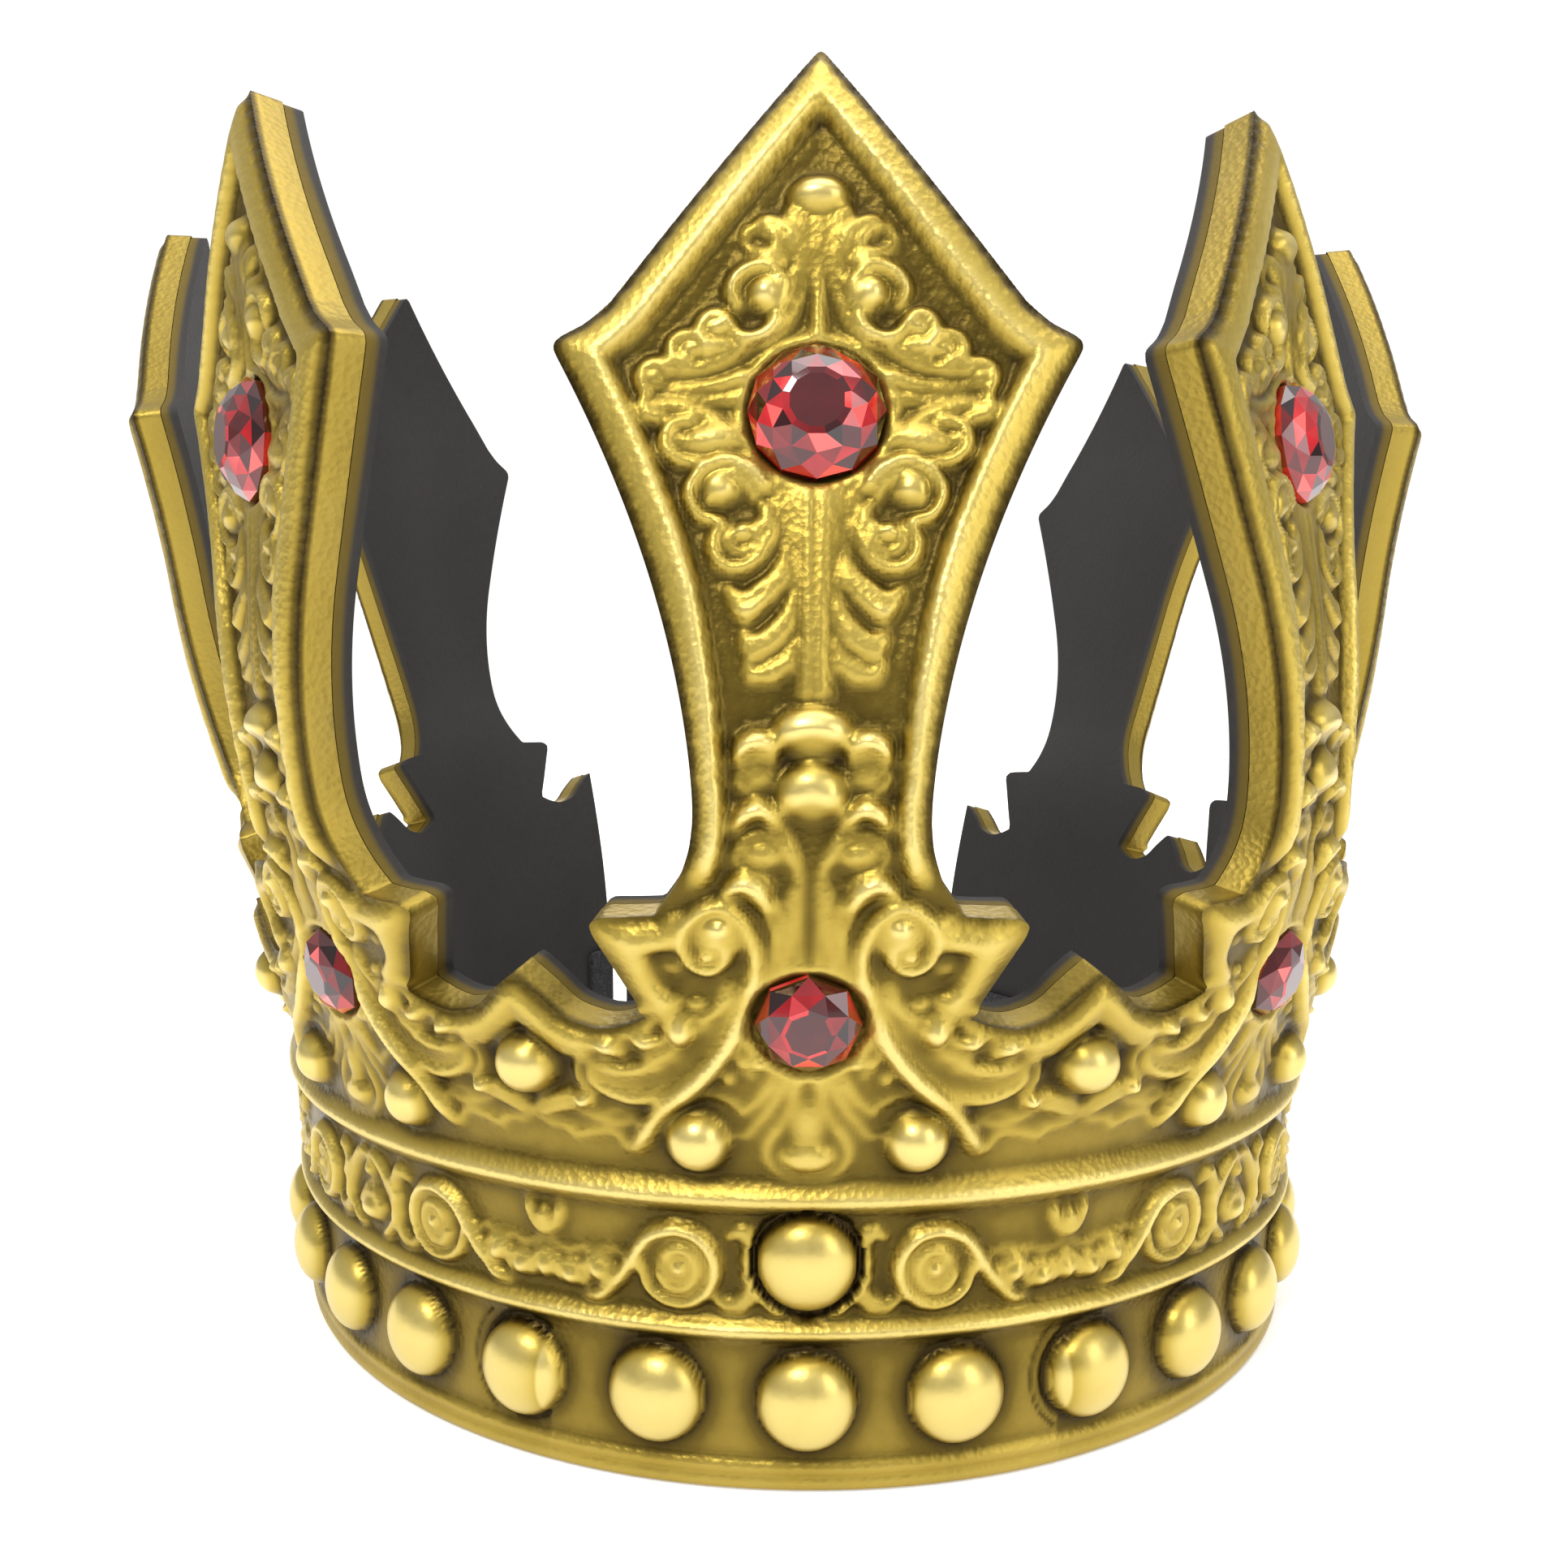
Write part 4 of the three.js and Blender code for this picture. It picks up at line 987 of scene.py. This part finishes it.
def black_foam():
    """Charcoal closed-cell foam with a fine skin, and gold overspray where its edge is 0."""
    material, nodes, links, shader = new_material("black_foam")
    cells = noise(nodes, links, 700, 4, 0.6)
    cloud = noise(nodes, links, 24, 3, 0.5)
    tone = ramp(nodes, [(0.25, (0.016, 0.0145, 0.0135)), (0.75, (0.036, 0.032, 0.029))])
    links.new(math_node(nodes, links, "ADD",
        math_node(nodes, links, "MULTIPLY", cells.outputs["Fac"], 0.5), math_node(nodes, links,
        "MULTIPLY", cloud.outputs["Fac"], 0.5)), tone.inputs["Fac"])
    ragged = math_node(nodes, links, "ADD", attribute(nodes, "edge"),
                       math_node(nodes, links, "MULTIPLY_ADD", cloud.outputs["Fac"], 0.5))
    ragged.node.inputs[1].links[0].from_node.inputs[2].default_value = -0.25
    spray = ramp(nodes, [(0.0, (1, 1, 1)), (0.35, (0.8, 0.8, 0.8)), (0.62, (0.05, 0.05, 0.05)),
        (0.75, (0, 0, 0))])
    links.new(ragged, spray.inputs["Fac"])
    mix = nodes.new("ShaderNodeMix")
    mix.data_type = "RGBA"
    links.new(spray.outputs["Color"], mix.inputs["Factor"])
    links.new(tone.outputs["Color"], mix.inputs[6])
    mix.inputs[7].default_value = (0.16, 0.11, 0.018, 1)
    links.new(mix.outputs[2], shader.inputs["Base Color"])
    links.new(math_node(nodes, links, "MULTIPLY", spray.outputs["Color"], 0.6), shader.inputs["Metallic"])
    rough = math_node(nodes, links, "MULTIPLY_ADD", cells.outputs["Fac"], 0.2)
    rough.node.inputs[2].default_value = 0.62
    links.new(rough, shader.inputs["Roughness"])
    shader.inputs["Specular IOR Level"].default_value = 0.35
    bump = nodes.new("ShaderNodeBump")
    bump.inputs["Strength"].default_value = 0.3
    bump.inputs["Distance"].default_value = 0.0004
    links.new(cells.outputs["Fac"], bump.inputs["Height"])
    links.new(bump.outputs[0], shader.inputs["Normal"])
    return material


def fabric(name, dark, light, cell, bump_depth):
    """Matt textile: cells of fibre, with painted shade: the colour is dark in the weave's hollows and light
    where the fibres stand up, from the same height as the bump.
    """
    material, nodes, links, shader = new_material(name)
    weave = nodes.new("ShaderNodeTexVoronoi")
    weave.inputs["Scale"].default_value = cell
    where = nodes.new("ShaderNodeTexCoord")
    links.new(where.outputs["Object"], weave.inputs["Vector"])
    fibre = noise(nodes, links, cell * 2.5, 4, 0.7)
    level = math_node(nodes, links, "MULTIPLY", weave.outputs["Distance"], fibre.outputs["Fac"])
    # painted shade and highlight: the weave's height sets its tone, dark in the hollows and light on the
    # raised fibres
    tone = ramp(nodes, [(0.08, dark), (0.5, light)])
    links.new(level, tone.inputs["Fac"])
    links.new(tone.outputs["Color"], shader.inputs["Base Color"])
    rough = math_node(nodes, links, "MULTIPLY_ADD", fibre.outputs["Fac"], 0.2)
    rough.node.inputs[2].default_value = 0.75
    links.new(rough, shader.inputs["Roughness"])
    shader.inputs["Specular IOR Level"].default_value = 0.2
    shader.inputs["Sheen Weight"].default_value = 0.25
    bump = nodes.new("ShaderNodeBump")
    bump.inputs["Strength"].default_value = 0.5
    bump.inputs["Distance"].default_value = bump_depth
    links.new(level, bump.inputs["Height"])
    links.new(bump.outputs[0], shader.inputs["Normal"])
    return material


def ruby():
    """Clear red facets over a foiled back, with painted reflections: each facet painted its own red, from
    near black to a bright glint.
    """
    material, nodes, links, shader = new_material("ruby_gem")
    painted_facet_light = attribute(nodes, "painted_facet_light")
    cloud = noise(nodes, links, 160, 2, 0.5)
    level = math_node(nodes, links, "ADD", painted_facet_light, about_half(nodes, links, cloud.outputs["Fac"],
        0.5), clamp=True)
    # painted reflections: facet brightness and noise mapped from near-black red to a pale red glint
    tone = ramp(nodes, [
        (0.0, (0.012, 0.0, 0.001)),
        (0.4, (0.07, 0.001, 0.003)),
        (0.65, (0.24, 0.002, 0.006)),
        (0.87, (0.55, 0.008, 0.014)),
        (1.0, (0.85, 0.10, 0.09)),
    ])
    links.new(level, tone.inputs["Fac"])
    links.new(tone.outputs["Color"], shader.inputs["Base Color"])
    rough = math_node(nodes, links, "MULTIPLY_ADD", cloud.outputs["Fac"], 0.05)
    rough.node.inputs[2].default_value = 0.02
    links.new(rough, shader.inputs["Roughness"])
    shader.inputs["IOR"].default_value = 1.55
    shader.inputs["Coat Weight"].default_value = 0.5
    shader.inputs["Coat Roughness"].default_value = 0.02
    return material


# ---------------------------------------------------------------- pieces
gold, foam, red = gold_paint(), black_foam(), ruby()

points, quads, values, rim = build_face()
keep = {k: v for k, v in values.items() if k not in "sh"}
face = make_mesh("gold_relief_face", points, quads, keep, sharp=rim)
face.data.materials.append(gold)
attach(face, "crown")
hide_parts("crown_face")

points, quads, values, rim = build_backing()
backing = make_mesh("black_foam_backing", points, quads, {"edge": values["edge"]}, sharp=rim)
backing.data.materials.append(foam)
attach(backing, "crown")
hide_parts("crown_backing")


def brilliant(radius, sides, rings):
    """Points and faces of a cut stone on z from 0: rings are (share of the radius, height, half step)."""
    points, faces = [], []
    for share, z, step in rings:
        for k in range(sides):
            a = 2 * math.pi * (k + (0.5 if step else 0)) / sides
            points.append((radius * share * math.cos(a), radius * share * math.sin(a), z))
    for n in range(len(rings) - 1):
        a0, b0 = n * sides, (n + 1) * sides
        same = rings[n][2] == rings[n + 1][2]
        for k in range(sides):
            k2 = (k + 1) % sides
            if same:
                faces.append((a0 + k, a0 + k2, b0 + k2, b0 + k))
            elif rings[n + 1][2]:
                faces.append((a0 + k, a0 + k2, b0 + k))
                faces.append((a0 + k2, b0 + k2, b0 + k))
            else:
                faces.append((a0 + k, a0 + k2, b0 + k2))
                faces.append((a0 + k, b0 + k2, b0 + k))
    faces.append(tuple(range(sides))[::-1])
    faces.append(tuple((len(rings) - 1) * sides + k for k in range(sides)))
    return points, faces


def place_gem(name, node, spire, gem, rings, sides):
    """A gem on its seat, turned to the face there."""
    points, faces = brilliant(gem["radius"], sides, rings)
    origin = bend(spire, np.array(0.0), np.array(gem["height"]), np.array(SEAT))
    along = bend(spire, np.array(1.0), np.array(gem["height"]), np.array(SEAT)) - bend(spire,
        np.array(-1.0), np.array(gem["height"]), np.array(SEAT))
    out = bend(spire, np.array(0.0), np.array(gem["height"]), np.array(1.0)) - origin
    along, out = along / np.linalg.norm(along), out / np.linalg.norm(out)
    up = np.cross(out, along)
    local = np.array(points) * MM
    world = origin + local[:, :1] * along + local[:, 1:2] * up + local[:, 2:] * out
    mesh = bpy.data.meshes.new(name)
    mesh.from_pydata([tuple(p) for p in world], [], faces)
    draw = np.random.default_rng(11 + spire)
    # painted reflections and shade: each facet gets a random brightness, lower facets a little lighter and
    # the table darker
    tone = mesh.attributes.new("painted_facet_light", "FLOAT", "FACE")
    centres = np.array([np.mean([points[v] for v in f], axis=0) for f in faces])
    values = 0.5 + 0.33 * draw.normal(size=len(faces)) - 0.02 * centres[:, 1]
    values[-1] = 0.32
    tone.data.foreach_set("value", values.astype(np.float32))
    obj = bpy.data.objects.new(name, mesh)
    bpy.context.scene.collection.objects.link(obj)
    mesh.materials.append(red)
    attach(obj, "crown")
    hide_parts(node)
    return obj


UPPER_CUT = [(0.96, 0.0, 0), (1.0, 0.8, 0), (1.0, 2.0, 0), (0.88, 3.6, 1), (0.72, 5.0, 0),
    (0.5, 6.2, 1), (0.4, 6.4, 1)]
LOWER_CUT = [(0.97, 0.0, 0), (1.0, 0.5, 0), (0.98, 1.2, 0), (0.78, 3.0, 1), (0.5, 4.0, 0), (0.42, 4.2, 0)]
for spire in range(-LAST_SPIRE, LAST_SPIRE + 1):
    number = spire + LAST_SPIRE + 1
    place_gem(f"spire_stone_{number}", f"spire_gem_{number}", spire, SPIRE_GEM, UPPER_CUT, 12)
    place_gem(f"band_stone_{number}", f"band_gem_{number}", spire, BAND_GEM, LOWER_CUT, 8)

# ---------------------------------------------------------------- strap, sleeve and hook-and-loop pads
STRAP_WIDTH, STRAP_LENGTH, STRAP_THICKNESS = 26.0, 80.0, 1.6
STRAP_ANGLE = -0.0033
STRAP_HEIGHT = 16.0
PATCH_LENGTH, PATCH_THICKNESS, PATCH_MARGIN = 9.0, 1.2, 1.5
LOOP_LENGTH, PAD_FROM_END = 36.0, 5.0
HOOK_LENGTH, HOOK_THICKNESS, SLEEVE_LENGTH = 30.0, 1.3, 7.0
INNER = -FACE - 2 * GLUE - BACKING

webbing = fabric("grey_webbing", (0.028, 0.027, 0.026), (0.11, 0.105, 0.10), 900, 0.0003)
hook_tape = fabric("hook_and_loop_tape", (0.006, 0.006, 0.007), (0.035, 0.035, 0.036), 1300, 0.0004)


def finish_piece(obj, material, body, node):
    obj.data.materials.append(material)
    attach(obj, body)
    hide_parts(node)


def section(width, thickness, around):
    """A rounded flat section: points (z, y) round it, in order."""
    r = min(thickness / 2, 0.6)
    half_z, half_y = width / 2 - r, thickness / 2 - r
    flat = np.linspace(-half_z, half_z, around)
    turn = np.linspace(0, np.pi, 7)[1:-1]
    top = np.stack([flat, np.full(around, half_y + r)], axis=-1)
    right = np.stack([half_z + r * np.sin(turn), (half_y + r) * np.cos(turn)], axis=-1)
    bottom = np.stack([flat[::-1], np.full(around, -half_y - r)], axis=-1)
    left = np.stack([-half_z - r * np.sin(turn), -(half_y + r) * np.cos(turn)], axis=-1)
    return np.vstack([top, right, bottom, left])


def sweep(name, node, length, width, thickness, around, steps, texture):
    """A slab along the strap, textured by texture(x, z), a depth in mm, at the place of its CAD node."""
    ring = section(width, thickness, around)
    x = np.linspace(-length / 2, length / 2, steps)
    X, Z = np.meshgrid(x, ring[:, 0], indexing="ij")
    Y = np.broadcast_to(ring[:, 1], X.shape)
    Y = Y - np.sign(Y) * texture(X, Z) * (np.abs(Z) < width / 2 - 0.3)
    low, high = (np.array(v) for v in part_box(node))
    middle = (low + high) / 2
    c, si = math.cos(STRAP_ANGLE), math.sin(STRAP_ANGLE)
    points = middle + np.stack([c * X - si * Y, si * X + c * Y, Z], axis=-1).reshape(-1, 3) * MM
    n = len(ring)
    i, j = np.meshgrid(np.arange(steps - 1), np.arange(n), indexing="ij")
    k = (j + 1) % n
    quads = np.stack([i * n + j, i * n + k, (i + 1) * n + k, (i + 1) * n + j], axis=-1).reshape(-1, 4)
    faces = [tuple(q) for q in quads.tolist()]
    faces += [tuple(range(n))[::-1], tuple((steps - 1) * n + v for v in range(n))]
    return make_mesh(name, points, faces)


def ribbed(x, z):
    return 0.12 * (0.5 + 0.5 * np.cos(2 * np.pi * x / 1.5)) * (0.6 + 0.4 * np.cos(2 * np.pi * z / 2.2))


def hooked(x, z):
    return 0.2 * (0.5 + 0.5 * np.cos(2 * np.pi * x / 1.3) * np.cos(2 * np.pi * z / 1.3))


strap = sweep("woven_strap", "closure_strap", STRAP_LENGTH, STRAP_WIDTH, STRAP_THICKNESS, 60, 260, ribbed)
finish_piece(strap, webbing, "closure", "closure_strap")
pad = sweep("hook_pad", "strap_hook_pad", HOOK_LENGTH, STRAP_WIDTH, HOOK_THICKNESS, 90, 110, hooked)
finish_piece(pad, hook_tape, "closure", "strap_hook_pad")


def sleeve_piece():
    """A loop of tape round the strap's root, open at both ends."""
    outer = section(STRAP_WIDTH + 2 * (GLUE + PATCH_THICKNESS),
        STRAP_THICKNESS + 2 * (GLUE + PATCH_THICKNESS), 40)
    inner = section(STRAP_WIDTH + 2 * GLUE, STRAP_THICKNESS + 2 * GLUE, 40)
    n, steps = len(outer), 16
    x = np.linspace(-SLEEVE_LENGTH / 2, SLEEVE_LENGTH / 2, steps)
    low, high = (np.array(v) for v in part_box("strap_sleeve"))
    points = []
    for ring in (outer, inner):
        X, Z = np.meshgrid(x, ring[:, 0], indexing="ij")
        Y = np.broadcast_to(ring[:, 1], X.shape)
        points.append(np.stack([X, Y + STRAP_ANGLE * X, Z], axis=-1).reshape(-1, 3))
    points = (low + high) / 2 + np.vstack(points) * MM
    faces, shift = [], steps * n
    for j in range(n):
        k = (j + 1) % n
        for i in range(steps - 1):
            faces.append((i * n + j, i * n + k, (i + 1) * n + k, (i + 1) * n + j))
            faces.append((shift + (i + 1) * n + j, shift + (i + 1) * n + k, shift + i * n + k,
                shift + i * n + j))
        end = (steps - 1) * n
        faces.append((shift + j, shift + k, k, j))
        faces.append((end + j, end + k, shift + end + k, shift + end + j))
    return make_mesh("tape_sleeve", points, faces)


finish_piece(sleeve_piece(), hook_tape, "closure", "strap_sleeve")


def inner_pad(name, start, end, thickness, seed):
    """A tape pad with round corners on the strip's inner face, with a pile of loops."""
    half = STRAP_WIDTH / 2 + PATCH_MARGIN
    columns, rows = int((end - start) / 0.5), int(2 * half / 0.5)
    u, v = np.meshgrid(np.linspace(-1, 1, columns + 1), np.linspace(-1, 1, rows + 1), indexing="ij")
    corner = 2.0
    half_s = (end - start) / 2
    s, z = u * half_s, v * half
    trim = np.clip(np.abs(z) - (half - corner), 0, None)
    s = s * (1 - (corner - np.sqrt(np.clip(corner**2 - trim**2, 0, None))) / half_s)
    h = STRAP_HEIGHT + z
    pile = np.random.default_rng(seed).normal(size=s.shape)
    rim = np.clip(np.minimum((1 - np.abs(u)) * half_s, (1 - np.abs(v)) * half) / 0.8, 0, 1)
    depth = INNER - thickness * (0.75 + 0.25 * np.sqrt(rim)) + 0.05 * blur(pile, 1) * rim
    along = s + (start + end) / 2
    back = bend_along(along.ravel(), h.ravel(), np.full(s.size, INNER + 0.05))
    front = bend_along(along.ravel(), h.ravel(), depth.ravel())
    i, j = np.meshgrid(np.arange(columns), np.arange(rows), indexing="ij")
    at = lambda a, b: a * (rows + 1) + b
    quads = np.stack([at(i, j), at(i + 1, j), at(i + 1, j + 1), at(i, j + 1)], axis=-1).reshape(-1, 4)
    count = s.size
    rim_edges = border_edges(quads)
    wall = np.stack([rim_edges[:, 1], rim_edges[:, 0], rim_edges[:, 0] + count,
        rim_edges[:, 1] + count], axis=-1)
    return make_mesh(name, np.vstack([back, front]), np.vstack([quads, quads[:, ::-1] + count,
        wall]), sharp=rim_edges)


patch = inner_pad("anchor_patch", -HALF_LENGTH, PATCH_LENGTH - HALF_LENGTH, PATCH_THICKNESS, 5)
finish_piece(patch, hook_tape, "crown", "strap_anchor_patch")
loop_end = HALF_LENGTH - PAD_FROM_END
loops = inner_pad("loop_pile_pad", loop_end - LOOP_LENGTH, loop_end, HOOK_THICKNESS, 6)
finish_piece(loops, hook_tape, "crown", "loop_pad")

# ---------------------------------------------------------------- stage, camera and light
scene = bpy.context.scene
scene.view_settings.view_transform = "Standard"

floor_mesh = bpy.data.meshes.new("floor")
SPREAD = 6.0
floor_mesh.from_pydata([(-SPREAD, -SPREAD, 0), (SPREAD, -SPREAD, 0), (SPREAD, SPREAD, 0),
    (-SPREAD, SPREAD, 0)], [], [(0, 1, 2, 3)])
floor = bpy.data.objects.new("floor", floor_mesh)
floor.location = (0, 0, -0.0005)
scene.collection.objects.link(floor)
pale, nodes, links, shader = new_material("pale_floor")
shader.inputs["Base Color"].default_value = (0.93, 0.93, 0.93, 1)
shader.inputs["Roughness"].default_value = 0.9
shader.inputs["Emission Color"].default_value = (1, 1, 1, 1)
shader.inputs["Emission Strength"].default_value = 0.35
floor_mesh.materials.append(pale)

world = bpy.data.worlds.new("studio")
scene.world = world
world.use_nodes = True
nodes, links = world.node_tree.nodes, world.node_tree.links
nodes.clear()
out = nodes.new("ShaderNodeOutputWorld")
seen = nodes.new("ShaderNodeBackground")
seen.inputs["Color"].default_value = (1, 1, 1, 1)
seen.inputs["Strength"].default_value = 1.05
lit = nodes.new("ShaderNodeBackground")
where = nodes.new("ShaderNodeTexCoord")
split = nodes.new("ShaderNodeSeparateXYZ")
links.new(where.outputs["Generated"], split.inputs[0])
sky = ramp(nodes, [(0.0, (0.10, 0.10, 0.10)), (0.45, (0.22, 0.22, 0.21)),
    (0.62, (0.55, 0.55, 0.54)), (1.0, (1.0, 1.0, 1.0))])
links.new(math_node(nodes, links, "MULTIPLY_ADD", split.outputs["Z"], 0.5), sky.inputs["Fac"])
sky.inputs["Fac"].links[0].from_node.inputs[2].default_value = 0.5
links.new(sky.outputs["Color"], lit.inputs["Color"])
lit.inputs["Strength"].default_value = 0.9
path = nodes.new("ShaderNodeLightPath")
blend = nodes.new("ShaderNodeMixShader")
links.new(path.outputs["Is Camera Ray"], blend.inputs[0])
links.new(lit.outputs[0], blend.inputs[1])
links.new(seen.outputs[0], blend.inputs[2])
links.new(blend.outputs[0], out.inputs[0])


def softbox(name, place, target, size, power):
    data = bpy.data.lights.new(name, "AREA")
    data.shape = "RECTANGLE"
    data.size, data.size_y = size
    data.energy = power
    lamp = bpy.data.objects.new(name, data)
    scene.collection.objects.link(lamp)
    lamp.location = place
    aim = np.array(target) - np.array(place)
    lamp.rotation_mode = "QUATERNION"
    lamp.rotation_quaternion = Vector(aim).to_track_quat("-Z", "Y")
    return lamp


softbox("key", (-0.35, -0.95, 1.05), (0, -0.02, 0.11), (0.5, 0.35), 9)
softbox("top", (0.1, -0.1, 1.3), (0, 0, 0.1), (0.9, 0.9), 8)
softbox("fill", (0.9, -0.9, 0.5), (0, 0, 0.1), (0.5, 0.8), 4)
softbox("rim", (0.0, 1.3, 0.7), (0, 0, 0.1), (1.2, 0.6), 6)

CAMERA_PLACE = (0.005228, -0.340343, 0.12974)
CAMERA_YAW, CAMERA_PITCH, CAMERA_ROLL = -0.0059, 0.0905, 0.0018
CAMERA_LENS, SENSOR = 33.716, 36.0


def aim_camera(camera):
    ahead = np.array([math.sin(CAMERA_YAW), math.cos(CAMERA_YAW), 0])
    right = np.array([math.cos(CAMERA_YAW), -math.sin(CAMERA_YAW), 0])
    up = np.array([0, 0, 1.0])
    cp, sp = math.cos(CAMERA_PITCH), math.sin(CAMERA_PITCH)
    cr, sr = math.cos(CAMERA_ROLL), math.sin(CAMERA_ROLL)
    down_ahead, tilted_up = ahead * cp - up * sp, up * cp + ahead * sp
    right, tilted_up = right * cr + tilted_up * sr, tilted_up * cr - right * sr
    turn = Matrix((right, tilted_up, -down_ahead)).transposed()
    camera.matrix_world = Matrix.Translation(CAMERA_PLACE) @ turn.to_4x4()


camera_data = bpy.data.cameras.new("camera")
camera = bpy.data.objects.new("camera", camera_data)
scene.collection.objects.link(camera)
camera_data.lens = CAMERA_LENS
camera_data.sensor_width = SENSOR
camera_data.clip_start = 0.01
aim_camera(camera)
scene.camera = camera
